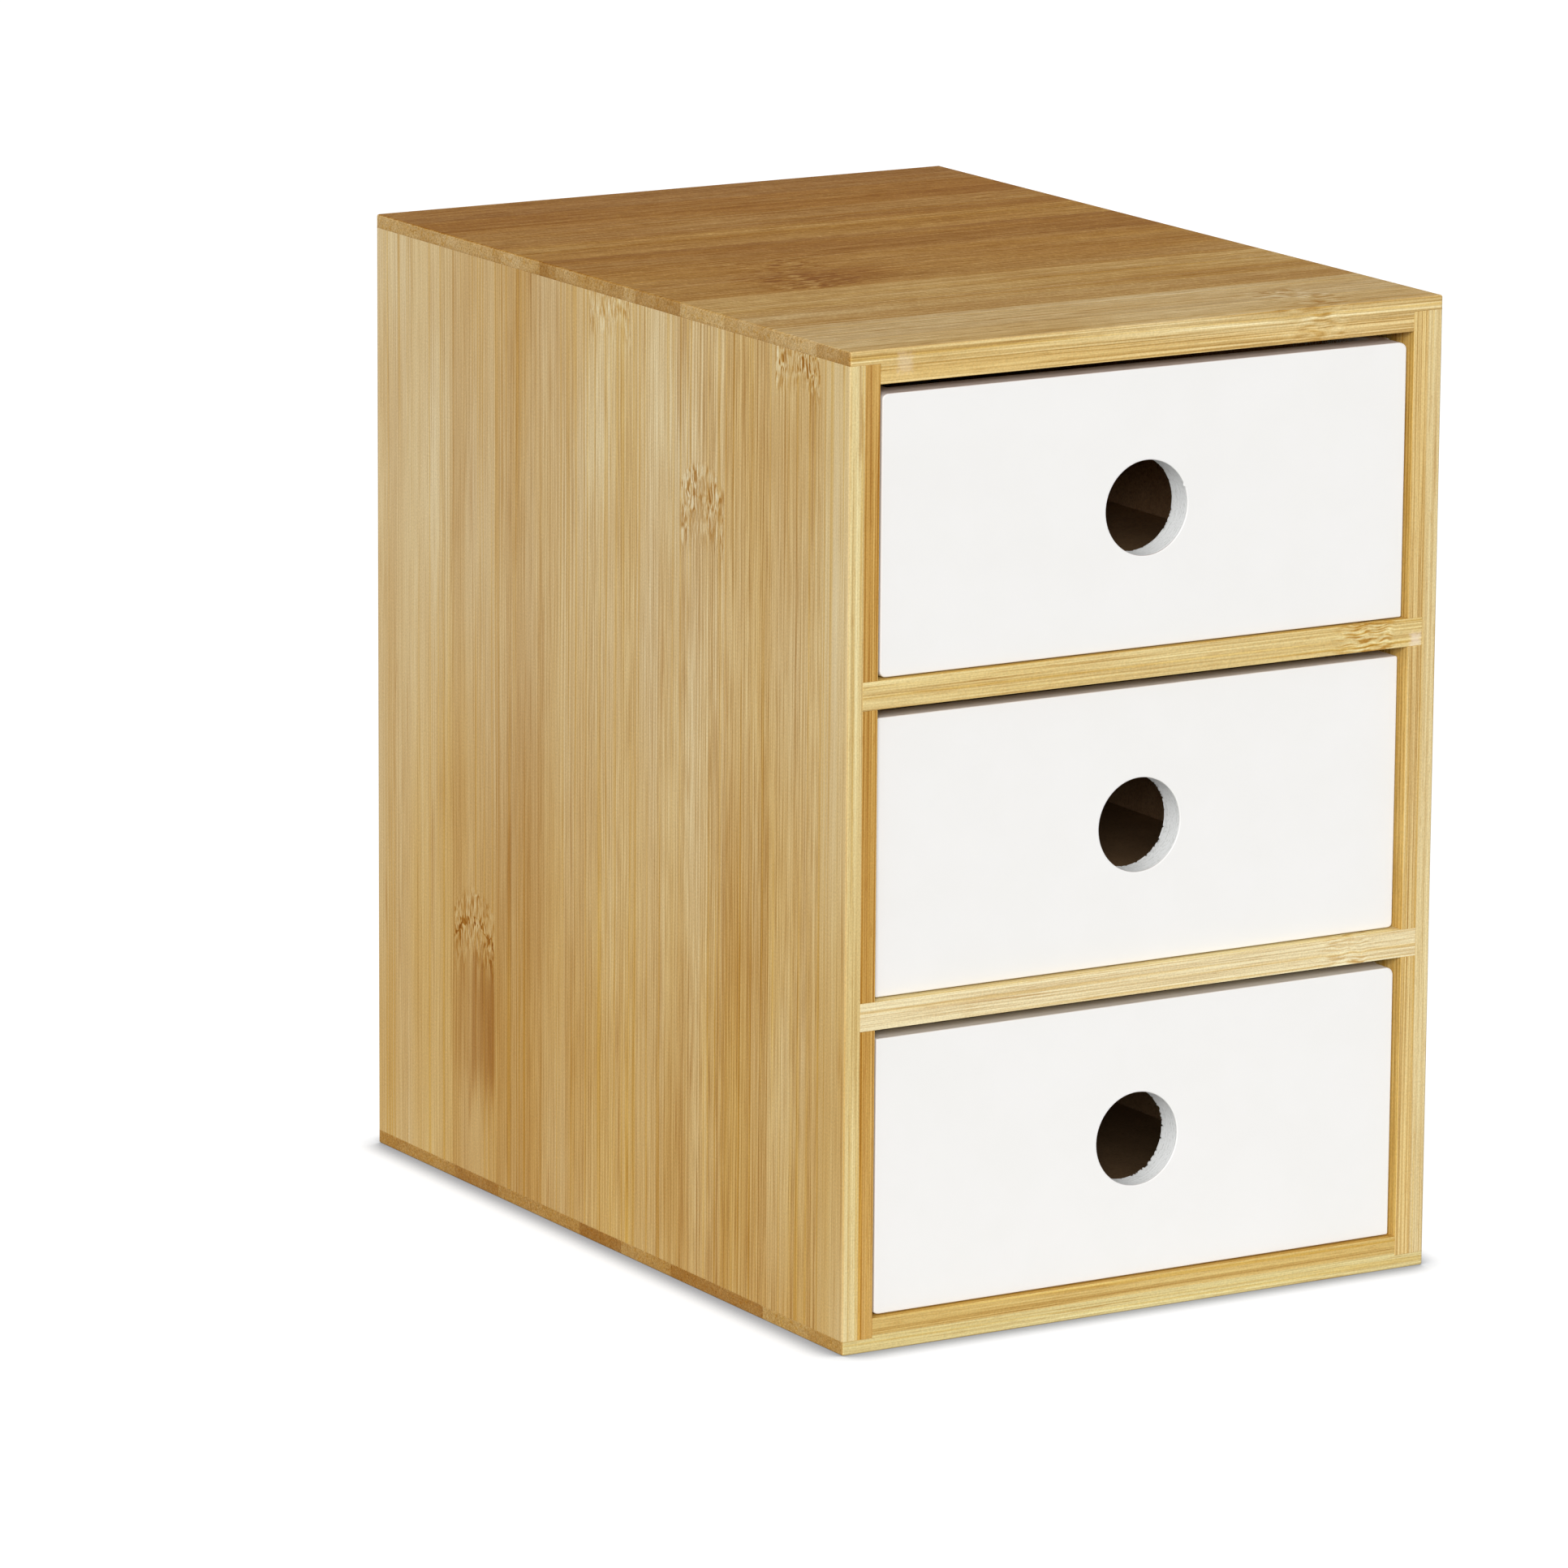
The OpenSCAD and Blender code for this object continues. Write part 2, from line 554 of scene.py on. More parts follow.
@dataclass(frozen=True)
class Bamboo:
    """Laminated bamboo: two plies of strips, read as one solid so that faces agree.

    Attributes:
        name: The material's name.
        along: The axis that the fibres follow.
        through: The axis from the outer face inward.
        outward: 1 or -1, the side of that axis that the outer face is on.
        outer: The ply at the outer face.
        inner: The ply behind it.
        ends: The strips as they show on the end grain.
        outer_mm: The thickness of the outer ply.
        knuckles: Where joints of the culm cross the strips.
        shades: The soft patches of the strips.
        lines: The layers that show as lines along the board's edges.
        fillers: The spots of filler.
        painted_sheen: How much paler and less golden it grows toward the far end of its fibres, a
            painted sheen that lightens the board's upper part.
        seed: Sets this board's grain apart from the others'.
        fuzz: How far short fuzzy streaks take the place of long ones on its broad faces.
        banding: How strong the broad streaks are.
        tones: The colours.
    """

    name: str
    along: Axis
    through: Axis
    outward: int
    outer: Ply
    inner: Ply
    ends: "Ply | None" = None
    outer_mm: float = 3.6
    knuckles: tuple[Knuckle, ...] = ()
    shades: tuple[Shade, ...] = ()
    lines: tuple[Line, ...] = ()
    fillers: tuple[Filler, ...] = ()
    painted_sheen: float = 0.0
    seed: float = 0.0
    fuzz: float = 0.0
    banding: float = 1.0
    tones: FibreTones = FibreTones()

    def material(self, low: Vector, high: Vector) -> bpy.types.Material:
        """Make the material of the board with these lowest and highest corners."""
        return BambooShader(self, low, high).material()


class BambooShader:
    """The shader of one board. Its values belong to the point that is shaded.

    Attributes:
        board: The finish.
        tree: The material's tree.
        across: How far the point is from the back or right edge, in millimetres.
        through: How far it is from the outer face.
        along: How far it is along the fibres from the cabinet's lower or left side.
        plain: These three as a point.
        grain: The same point with the fibres' sway in it.
        end: Marks the faces that cut across the fibres.
        edge: Marks the long narrow edges.
        outer: Marks the outer ply.
        knot: Marks the knuckles, which bow across their strip and fade out downward.
        ring: Marks the row of pores in each knuckle.
    """

    def __init__(self, board: Bamboo, low: Vector, high: Vector) -> None:
        """Lay out where a point lies in the board.

        Args:
            board: The finish.
            low: The lowest corner of the board.
            high: Its highest corner.
        """
        self.board = board
        self.tree = ShaderTree.material(board.name)
        depth, length = board.through.value, board.along.value
        side = ({0, 1, 2} - {depth, length}).pop()
        parts = self.tree.split(self.tree.point_mm())
        face = (high if board.outward > 0 else low)[depth] * PER_METRE
        self.across = high[side] * PER_METRE - parts[side]
        self.through = (face - parts[depth]) * board.outward
        self.along = parts[length] - CAD_BOX[0][length] * PER_METRE
        self.plain = self.tree.join(self.across, self.through, self.along)
        tilted, square, soft_mm = 0.55, 0.85, 0.05
        normal = self.tree.normal()
        self.end, self.edge = (abs(normal[axis]).step(tilted, square) for axis in (length, side))
        self.outer = self.through.step(board.outer_mm + soft_mm, board.outer_mm - soft_mm)
        self.knot, self.ring = self._knuckles()
        sway, curl, lift = (self._noise(layer, self.plain) for layer in (SWAY, CURL, LIFT))
        self.grain = self.tree.join(
            self.across + sway + curl * self.knot, self.through + lift * self.knot, self.along
        )

    def material(self) -> bpy.types.Material:
        """Put the tone, the warmth and the colour of the board together.

        Returns:
            The material, which serves all the faces of the board.
        """
        board, end, edge = self.board, self.end, self.edge
        strip_tone, fibre, strip_warmth = self._plies()
        fine = self._fine(fibre) * (1.0 - self.knot * 0.5) * (1.0 - end * 0.6)
        broad = self._streaks(BROAD_GRAIN) * board.banding
        ember = self._noise(EMBER, self.grain).step(0.08, 0.24)
        marks = self._knuckle_marks()
        shade, shade_gold = self._shades()
        # Painted sheen: paler and less golden toward the far end of the fibres, standing in for the
        # reflection on the board's upper part.
        painted_sheen_mask = self.along.step(30.0, 150.0) * (1.0 - edge) * board.painted_sheen
        tone = (
            strip_tone + fine * 0.7 + broad * (1.0 - edge * 0.7) + marks + shade + painted_sheen_mask * 0.06
            - ember * 0.04 - self._dark_lines() * (1.0 + edge * 0.8) - self._flecks() * edge
            + end * self._noise(END_GRAIN, self.plain)
        )
        if board.fuzz:
            tone = tone + self._specks(strip_tone)
        warmth = (
            strip_warmth + edge * self._by_ply("edge_warmth") + shade_gold + ember * 0.3
            - painted_sheen_mask * 0.30 - fine * 0.4 - broad * 1.4 - marks * 1.3
        )
        dust = self._noise(DUST, self.plain) * (0.3 + end * 0.25)
        colour = self._golden(self.tree.ramp(tone, board.tones.stops()), warmth)
        colour = self.tree.scaled(colour, 1.0 + dust + fine * 0.42)
        edge_tint = self.tree.join(1.0, self._by_ply("edge_green"), 1.0)
        colour = self._filled(self.tree.mix(edge, colour, edge_tint, "MULTIPLY"))
        roughness = 0.55 - fine * 0.3 + end * 0.1
        return self.tree.finish(colour, roughness, gloss=0.015, height=fine, relief=Relief(0.2, 0.05))

    def _noise(self, layer: Layer, point: Value) -> Value:
        """Add one layer of noise.

        Args:
            layer: The layer.
            point: Where it is read: the plain point, or the grain to sway with the fibres.

        Returns:
            The noise, around 0.
        """
        size = (layer.across_mm, layer.across_mm, layer.along_mm)
        noise = self.tree.noise(point, size, layer.detail, self.board.seed + layer.seed)
        return noise * layer.strength

    def _streaks(self, layers: Sequence[Layer]) -> Value:
        """Add up layers of noise that sway with the fibres."""
        return sum(self._noise(layer, self.grain) for layer in layers)

    def _by_ply(self, trait: str) -> Value:
        """Give a trait of the plies, which is the outer one's or the inner one's."""
        outer, inner = getattr(self.board.outer, trait), getattr(self.board.inner, trait)
        return self.outer * (outer - inner) + inner

    def _strip(self, ply: Ply) -> Value:
        """Look up the strip of a ply, with a thin darker line where two meet.

        Args:
            ply: The ply.

        Returns:
            Its tone, how strongly its fibres show and how golden it is, as a vector.
        """
        line_mm, line_depth = 0.14, 0.04
        ends = list(accumulate(strip.width_mm for strip in ply.strips))
        stops = []
        for strip, start in zip(ply.strips, (0.0, *ends)):
            warmth = max(ply.warmth + strip.gold, 0.0)
            if start > 0.0:
                glue = (strip.tone - line_depth, strip.fibre, warmth, 1.0)
                stops.append(((start - line_mm / 2) / ends[-1], glue))
            stops.append(((start + line_mm / 2) / ends[-1], (strip.tone, strip.fibre, warmth, 1.0)))
        return self.tree.ramp(self.across / ends[-1], stops, "CONSTANT")

    def _plies(self) -> tuple[Value, Value, Value]:
        """Read the ply and the strip.

        Returns:
            The tone, how strongly the fibres show and how golden the place is.
        """
        board = self.board
        faces = self.tree.mix(self.outer, self._strip(board.inner), self._strip(board.outer))
        tone, fibre, warmth = self.tree.split(faces)
        if board.ends:
            cut_tone, _, cut_warmth = self.tree.split(self._strip(board.ends))
            tone, warmth = tone.toward(cut_tone, self.end), warmth.toward(cut_warmth, self.end)
        seam_mm, seam_soft_mm, seam_depth, line_soft_mm = 0.16, 0.1, 0.08, 0.3
        tone = tone - self.through.band(board.outer_mm, seam_mm, seam_soft_mm) * seam_depth
        for line in board.lines:
            shown = self.through.band(line.depth_mm, line.width_mm, line_soft_mm)
            tone = tone + shown * line.tone
        return tone, fibre, warmth

    def _fine(self, fibre: Value) -> Value:
        """Give the fine fibres, narrow and dark between wider pale ones.

        Args:
            fibre: How strongly the strip's fibres show.

        Returns:
            The change of tone, around 0.
        """
        across, through, _ = self.tree.split(self.grain)
        phase = (across * 0.82 + through * 0.35) * math.tau + self._noise(RIB_JITTER, self.grain)
        ribs = phase.math("SINE", phase).step(0.50, 1.0) * (1.0 - self.edge)
        ribs = ribs * self._noise(RIB_GATE, self.grain).step(-0.16, 0.12)
        streaks = self._streaks(FINE_GRAIN)
        if self.board.fuzz:
            streaks = streaks.toward(self._streaks(FUZZY_GRAIN), self.board.fuzz)
        streaks = streaks.toward(self._streaks(EDGE_GRAIN), self.edge)
        skewed = streaks - streaks.larger(0.0) * 0.45
        opacity = self._noise(OPACITY, self.plain) + fibre
        return (skewed - (ribs - 0.15) * 0.14 + 0.016) * opacity

    def _dark_lines(self) -> Value:
        """Draw thin dark lines along the grain here and there.

        Returns:
            How much darker the place is.
        """
        contour = abs(self._noise(DARK_LINE, self.grain))
        gate = self._noise(DARK_LINE_GATE, self.grain).step(-0.02, 0.16)
        return contour.step(0.026, 0.006) * gate * 0.12

    def _flecks(self) -> Value:
        """Give the short dark flecks of the fibre bundles that the long edges cut."""
        return self._noise(FLECK, self.plain).step(0.12, 0.24) * 0.07

    def _specks(self, strip_tone: Value) -> Value:
        """Speckle the broad faces, less so on pale strips.

        Args:
            strip_tone: The tone of the strip.

        Returns:
            The change of tone.
        """
        speck = self._noise(SPECK, self.plain)
        dark = strip_tone.step(0.76, 0.45) * 0.8 + 0.2
        shown = dark * (1.0 - self.edge) * (1.0 - self.end) * self.board.fuzz
        return (speck * 0.35 + speck.step(0.16, 0.28) * 0.12) * shown

    def _knuckles(self) -> tuple[Value, Value]:
        """Mark where the knuckles are.

        Returns:
            A mask of the knuckles, and one of the row of pores in each.
        """
        bow, above, below = 0.38, (0.62, 0.42), (-0.95, -0.1)
        strip_edge, ring_edge_mm = (1.01, 0.9), (1.3, 0.5)
        knot = ring = self.across * 0.0
        for knuckle in self.board.knuckles:
            height = knuckle.height_mm
            off = (self.across - knuckle.across_mm) / (knuckle.width_mm / 2)
            far = self.along - knuckle.along_mm + off * off * (bow * height)
            strip = abs(off).step(*strip_edge) * knuckle.strength
            over = far.step(above[0] * height, above[1] * height)
            under = far.step(below[0] * height, below[1] * height)
            knot = knot + strip * over * under
            ring = ring + strip * abs(far).step(*ring_edge_mm) * knuckle.pores
        return knot, ring

    def _knuckle_marks(self) -> Value:
        """Draw the dashes and pores of the knuckles.

        Returns:
            The change of tone.
        """
        coarse = replace(DASH, across_mm=DASH.across_mm + self.board.fuzz * 0.8)
        dash = self._noise(coarse, self.grain)
        pore = self._noise(PORE, self.grain).step(0.04, 0.14)
        marks = dash.step(-0.02, -0.16) * 0.15 - dash.step(0.02, 0.18) * 0.36
        patchy = self._noise(KNUCKLE_GATE, self.grain).step(-0.22, 0.05)
        return self.knot * marks * (patchy * 0.6 + 0.4) - self.ring * pore

    def _shades(self) -> tuple[Value, Value]:
        """Add up the soft patches, with streaky outlines.

        Returns:
            The change of tone, and how much more golden the place is.
        """
        total = gold = self.across * 0.0
        streaky = self._noise(PATCH_EDGE, self.plain)
        for shade in self.board.shades:
            width = shade.width_mm
            side = abs(self.across - shade.across_mm).step(width * 0.53, width * 0.45)
            far = abs(self.along - shade.along_mm) / (shade.length_mm / 2) + streaky
            cover = side * far.step(1.0, 0.35)
            total = total + cover * (1.0 - streaky * shade.streaks) * shade.tone
            if shade.gold:
                gold = gold + cover * shade.gold
        return total, gold

    def _golden(self, colour: Value, warmth: Value) -> Value:
        """Vary how golden the bamboo is, by ply, strip and streak.

        Args:
            colour: The colour by tone.
            warmth: How golden the place is as a whole.

        Returns:
            The colour of the wood.
        """
        varied = self._noise(GOLD_STREAK, self.plain) + self._noise(GOLD_PATCH, self.plain)
        golden = self.tree.mix(1.0, colour, self.board.tones.golden, "MULTIPLY")
        return self.tree.mix(warmth + varied * (1.0 - self.edge * 0.5), colour, golden)

    def _filled(self, colour: Value) -> Value:
        """Lay the spots of filler over the wood.

        Args:
            colour: The colour of the wood.

        Returns:
            The colour of the board.
        """
        local = (self.across, self.through, self.along)
        for spot in self.board.fillers:
            ragged = self._noise(FILLER_EDGE, self.plain)
            parts = [
                abs(value - middle) / (size / 2)
                for value, middle, size in zip(local, spot.centre_mm, spot.size_mm)
            ]
            far = parts[0].larger(parts[1]).larger(parts[2]) + ragged
            colour = self.tree.mix(far.step(1.2, 0.3) * spot.strength, colour, spot.colour.linear())
        return colour


@dataclass(frozen=True)
class WhitePaint:
    """Satin white paint, sprayed and lightly sanded, with painted shade on its upward faces.

    Attributes:
        name: The material's name.
        painted_top_shade: How far upward faces are darkened toward the board colour, a painted shade for
            the shade under the board above.
        colour: The paint.
        board: The brownish grey that upward faces are darkened toward, the colour of the painted shade.
    """

    name: str
    painted_top_shade: float
    colour: Colour = Colour(243, 242, 240)
    board: Colour = Colour(180, 159, 150)

    def material(self) -> bpy.types.Material:
        """Make the paint, with a trace of clouds in its colour, painted shade on its upward faces and an
        orange-peel surface.

        Returns:
            The material.
        """
        tree = ShaderTree.material(self.name)
        point = tree.point_mm()
        cloud = tree.noise(point, (14.0,) * 3, detail=2.0, seed=1.0)
        peel = tree.noise(point, (1.3,) * 3, detail=2.0, seed=2.0)
        patchy = tree.noise(point, (3.0,) * 3, detail=2.0, seed=10.0) * 0.7 + 1.0
        dull = self.colour.darker(1.5, 1.5, 2.0)
        colour = tree.mix(cloud.step(-0.25, 0.25), dull.linear(), self.colour.linear())
        # Painted shade: upward faces, the drawers' top edges under the board above, are darkened toward
        # the board colour.
        upward = tree.normal()[2].step(0.5, 0.9)
        colour = tree.mix(upward * patchy * self.painted_top_shade, colour, self.board.linear())
        roughness = 0.42 + peel * 0.12
        return tree.finish(colour, roughness, gloss=0.35, height=peel, relief=Relief(0.08, 0.1))


@dataclass(frozen=True)
class BoredPaint:
    """Paint on the wall of a finger hole, over the rings that the bit left, whiter than the front's
    paint as painted light.
    """

    name: str = "white_paint_bored"
    # Whiter than the front's paint: painted light that brightens the hole's wall.
    colour: Colour = Colour(249, 250, 249)

    def material(self) -> bpy.types.Material:
        """Make the paint, with the bit's rings in its colour and its surface.

        Returns:
            The material.
        """
        tree = ShaderTree.material(self.name)
        point = tree.point_mm()
        rings = tree.noise(point, (30.0, 0.35, 30.0), detail=1.0, seed=3.0)
        grit = tree.noise(point, (0.7, 0.5, 0.7), detail=2.0, seed=4.0)
        wear = (rings * 0.7 + grit * 1.3).step(0.02, 0.3)
        dull = self.colour.darker(34.0, 33.0, 36.0)
        colour = tree.mix(wear * 0.6, self.colour.linear(), dull.linear())
        roughness, height = 0.55 + grit * 0.2, rings + grit
        return tree.finish(colour, roughness, gloss=0.3, height=height, relief=Relief(0.5, 0.15))


@dataclass(frozen=True)
class Fibreboard:
    """Bare fibreboard, brown with short matted fibres.

    Attributes:
        name: The material's name.
        light: How light it is, against an ordinary board; the drawers set it as painted shade and light.
        top_mm: The height of the edge that paint has drifted in over, if it has.
        reach_mm: How far down the drift of paint reaches.
        pale: The colour of its paler fibres.
        dark: The colour of its darker ones.
        paint: The colour of the paint.
    """

    name: str
    light: float
    top_mm: "float | None" = None
    reach_mm: float = 6.0
    pale: Colour = Colour(198, 160, 118)
    dark: Colour = Colour(164, 127, 90)
    paint: Colour = Colour(238, 237, 233)

    def material(self) -> bpy.types.Material:
        """Make the board, whitened near its top edge where paint has drifted in.

        Returns:
            The material.
        """
        tree = ShaderTree.material(self.name)
        point = tree.point_mm()
        mat = tree.noise(point, (0.5,) * 3, detail=2.0, seed=5.0)
        cloud = tree.noise(point, (9.0,) * 3, detail=2.0, seed=6.0)
        fleck = tree.noise(point, (0.8,) * 3, detail=0.0, seed=7.0).step(0.2, 0.27)
        share = (mat * 1.1 + cloud * 0.6 - fleck * 0.5).step(-0.45, 0.45)
        colour = tree.scaled(tree.mix(share, self.dark.linear(), self.pale.linear()), self.light)
        if self.top_mm is not None:
            depth = self.top_mm - tree.split(point)[2]
            drift = tree.noise(point, (6.0, 6.0, 3.0), detail=2.0, seed=8.0) * 0.9
            speck = tree.noise(point, (0.35,) * 3, detail=1.0, seed=9.0) * 1.6
            cover = (1.0 - depth / self.reach_mm + drift + speck).step(0.25, 0.75)
            colour = tree.mix(cover, colour, self.paint.linear())
        roughness = 0.8 + mat * 0.15
        return tree.finish(colour, roughness, gloss=0.1, height=mat, relief=Relief(0.3, 0.1))


# ---------------------------------------------------------------- shapes


@dataclass(frozen=True)
class Block:
    """A box with the boxes of what seats in it cut out of it."""

    low: Vector
    high: Vector
    cuts: "tuple[Block, ...]" = ()

    @classmethod
    def of(cls, node: str, *seated: str) -> "Block":
        """Read a node's box from the frame, less the boxes of the nodes seated in it."""
        low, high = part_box(node)
        return cls(low, high, tuple(cls.of(name) for name in seated))

    def holds(self, point: Vector) -> bool:
        """Tell whether a point lies in the block and in none of its cuts."""
        inside = all(lo < p < hi for lo, p, hi in zip(self.low, point, self.high))
        return inside and not any(cut.holds(point) for cut in self.cuts)

    def _planes(self, axis: Axis) -> list[float]:
        """List where the block or one of its cuts begins or ends along an axis.

        Args:
            axis: The axis.

        Returns:
            The places, going up.
        """
        i, least, digits = axis.value, 1e-7, 7
        ends = [self.low[i], self.high[i]]
        cut_ends = [end for cut in self.cuts for end in (cut.low[i], cut.high[i])]
        ends += [end for end in cut_ends if ends[0] + least < end < ends[1] - least]
        return sorted({round(end, digits) for end in ends})

    def mesh(self) -> bmesh.types.BMesh:
        """Build the block as a closed mesh with one face on each flat surface.

        Returns:
            The mesh, with normals outward.
        """
        planes = [self._planes(axis) for axis in Axis]
        counts = [len(ends) - 1 for ends in planes]
        bm = bmesh.new()
        corners: dict[tuple[int, ...], bmesh.types.BMVert] = {}

        def is_solid(cell: tuple[int, ...]) -> bool:
            """Tell whether a cell between the planes is part of the block."""
            middle = [(ends[i] + ends[i + 1]) / 2 for ends, i in zip(planes, cell)]
            return self.holds(Vector(middle))

        def corner(index: tuple[int, ...]) -> bmesh.types.BMVert:
            """Give the vertex where three planes cross.

            Args:
                index: The place of each plane in its list.

            Returns:
                The vertex, made once.
            """
            if index not in corners:
                corners[index] = bm.verts.new([ends[i] for ends, i in zip(planes, index)])
            return corners[index]

        cells = {cell for cell in product(*(range(count) for count in counts)) if is_solid(cell)}
        for cell, axis, side in product(sorted(cells), range(3), (0, 1)):
            if tuple(c + (2 * side - 1) * (i == axis) for i, c in enumerate(cell)) in cells:
                continue
            first, second = (i for i in range(3) if i != axis)
            loop = []
            for a, b in ((0, 0), (1, 0), (1, 1), (0, 1)):
                index = list(cell)
                index[axis] += side
                index[first] += a
                index[second] += b
                loop.append(corner(tuple(index)))
            bm.faces.new(loop)
        bmesh.ops.recalc_face_normals(bm, faces=bm.faces)
        bmesh.ops.dissolve_limit(bm, angle_limit=0.01, verts=bm.verts, edges=bm.edges)
        return bm


@dataclass
class Easing:
    """How far the edges of a block are rounded, as bevel weights on its mesh."""

    widest: float
    segments: int = 3

    def weigh(self, bm: bmesh.types.BMesh, radius_of: Callable[[bmesh.types.BMEdge], float]) -> None:
        """Give each outer edge its radius.

        Args:
            bm: The mesh of a block.
            radius_of: Gives an edge's radius.
        """
        layer = bm.edges.layers.float.new("bevel_weight_edge")
        for edge in bm.edges:
            if edge.is_convex:
                edge[layer] = radius_of(edge) / self.widest
            else:
                edge.smooth = False

    def apply_to(self, piece: bpy.types.Object) -> None:
        """Add the modifiers that round the edges and keep the flats flat.

        Args:
            piece: The piece.
        """
        bevel = piece.modifiers.new("eased_edges", "BEVEL")
        bevel.limit_method = "WEIGHT"
        bevel.width = self.widest
        bevel.segments = self.segments
        bevel.use_clamp_overlap = False
        keep_flats_flat(piece)


def keep_flats_flat(piece: bpy.types.Object) -> None:
    """Add the modifier that lets large faces set the normals beside them.

    Args:
        piece: The piece.
    """
    flats = piece.modifiers.new("flat_faces", "WEIGHTED_NORMAL")
    flats.weight = 100
    flats.keep_sharp = True


def add_object(name: str, data: bpy.types.ID) -> bpy.types.Object:
    """Put data into the scene.

    Args:
        name: The object's name.
        data: Its mesh, light or camera.

    Returns:
        The object.
    """
    added = bpy.data.objects.new(name, data)
    bpy.context.scene.collection.objects.link(added)
    return added


def make_piece(
    name: str, bm: bmesh.types.BMesh, materials: Sequence[bpy.types.Material]
) -> bpy.types.Object:
    """Turn a mesh into an object of the scene.

    Args:
        name: The object's name.
        bm: The mesh, which is freed.
        materials: The materials that its faces count through.

    Returns:
        The object.
    """
    for face in bm.faces:
        face.smooth = True
    mesh = bpy.data.meshes.new(name)
    bm.to_mesh(mesh)
    bm.free()
    for material in materials:
        mesh.materials.append(material)
    return add_object(name, mesh)


def stand_for(piece: bpy.types.Object, node: str, body: str, slot: Slot) -> bpy.types.Object:
    """Put a piece in the place of its node.

    Args:
        piece: The dressed piece.
        node: The node that it stands for.
        body: The body that it rides on.
        slot: The record's slot of its finish; not used.

    Returns:
        The piece.
    """
    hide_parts(node)
    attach(piece, body)
    LOG.info("%s stands for %s on %s", piece.name, node, body)
    return piece


def loft(
    bm: bmesh.types.BMesh, rings: Sequence[Sequence[Vector]], material: int
) -> list[list[bmesh.types.BMEdge]]:
    """Join closed rings of as many points each with quads.

    Args:
        bm: The mesh that they are added to.
        rings: The points of each ring.
        material: The index of the faces' material.

    Returns:
        The edges of each ring.
    """
    verts = [[bm.verts.new(point) for point in ring] for ring in rings]
    pairs = [list(zip(ring, (*ring[1:], ring[0]))) for ring in verts]
    for near, far in zip(pairs, pairs[1:]):
        for (a, b), (d, c) in zip(near, far):
            bm.faces.new((a, b, c, d)).material_index = material
    return [[bm.edges.get(pair) for pair in ring] for ring in pairs]


def fill_between(
    bm: bmesh.types.BMesh, loops: Iterable[Sequence[bmesh.types.BMEdge]], material: int
) -> None:
    """Fill the flat area between an outline and the holes in it.

    Args:
        bm: The mesh.
        loops: The edges of the outline and of each hole.
        material: The index of the faces' material.
    """
    edges = [edge for loop in loops for edge in loop]
    made = bmesh.ops.triangle_fill(bm, edges=edges, use_beauty=True, use_dissolve=False)
    for item in made["geom"]:
        if isinstance(item, bmesh.types.BMFace):
            item.material_index = material


def sharpen(bm: bmesh.types.BMesh, angle: float) -> None:
    """Mark the edges that turn by more than an angle as sharp."""
    for edge in bm.edges:
        edge.smooth = len(edge.link_faces) == 2 and edge.calc_face_angle() < angle


# ---------------------------------------------------------------- cabinet


def strips(*sizes: tuple[float, ...]) -> tuple[Strip, ...]:
    """Make strips from a width in millimetres, a tone and perhaps a fibre strength each."""
    return tuple(Strip(*size) for size in sizes)


LEFT_OUTER = Ply(strips(
    (15.0, 0.753, 0.6, -0.18), (19.0, 0.758, 0.65, -0.11), (19.5, 0.670, 0.7, -0.10),
    (20.0, 0.643, 0.85, -0.06), (19.2, 0.702, 0.85, -0.12), (20.0, 0.738, 1.1, -0.04),
    (19.1, 0.740, 1.05, -0.13), (19.2, 0.700, 1.5, -0.08), (19.0, 0.708, 1.4, 0.02),
    (19.0, 0.718, 1.25, 0.03), (11.0, 0.79, 0.6, -0.03),
), 0.62, -0.40, 1.067)
LEFT_INNER = Ply(strips(
    (8.0, 0.70), (19.0, 0.74), (19.0, 0.68), (19.5, 0.72), (19.0, 0.75), (19.5, 0.69),
    (19.0, 0.73), (19.0, 0.70), (19.5, 0.74), (19.0, 0.70), (19.5, 0.588, 1.15),
), 1.06, -0.33, 1.024)
RIGHT_OUTER = Ply(strips(
    (9.0, 0.74), (19.5, 0.70), (19.0, 0.76), (19.2, 0.73), (20.0, 0.67), (19.0, 0.75),
    (19.4, 0.77), (19.0, 0.72), (19.5, 0.76), (19.0, 0.70), (17.4, 0.835, 0.6),
), 0.45, -0.33, 1.006)
RIGHT_INNER = Ply(strips(
    (14.0, 0.71), (19.0, 0.75), (19.5, 0.70), (19.0, 0.73), (19.0, 0.68), (19.5, 0.74),
    (19.0, 0.70), (19.5, 0.76), (19.0, 0.72), (19.0, 0.69), (13.5, 0.756, 1.4),
), 0.76, -0.37)
TOP_OUTER = Ply(strips(
    (17.0, 0.22, 1.8, 0.04), (18.0, 0.23, 1.8, 0.36), (18.5, 0.325, 1.9, 0.09),
    (20.0, 0.395, 1.9, 0.21), (18.5, 0.283, 1.8, 0.21), (19.0, 0.39, 1.9, 0.17),
    (19.7, 0.388, 1.8, 0.15), (19.3, 0.592, 1.6, -0.04), (18.5, 0.55, 1.5, -0.13),
    (18.5, 0.69, 1.5, -0.35), (13.0, 0.722, 1.5, -0.23),
), 0.58, -0.13, 1.046)
TOP_ENDS = Ply(strips(
    (29.0, 0.592), (43.0, 0.60), (7.0, 0.43), (22.0, 0.54), (7.0, 0.46), (5.0, 0.59),
    (18.5, 0.43), (18.5, 0.65), (18.0, 0.59), (18.5, 0.68), (13.5, 0.54),
), 0.22)
BOTTOM_ENDS = Ply(strips(
    (35.0, 0.504), (19.0, 0.39), (22.0, 0.51), (14.0, 0.54), (18.0, 0.34), (21.0, 0.55),
    (18.5, 0.38), (20.0, 0.40), (18.0, 0.62), (14.5, 0.58),
), 0.5)


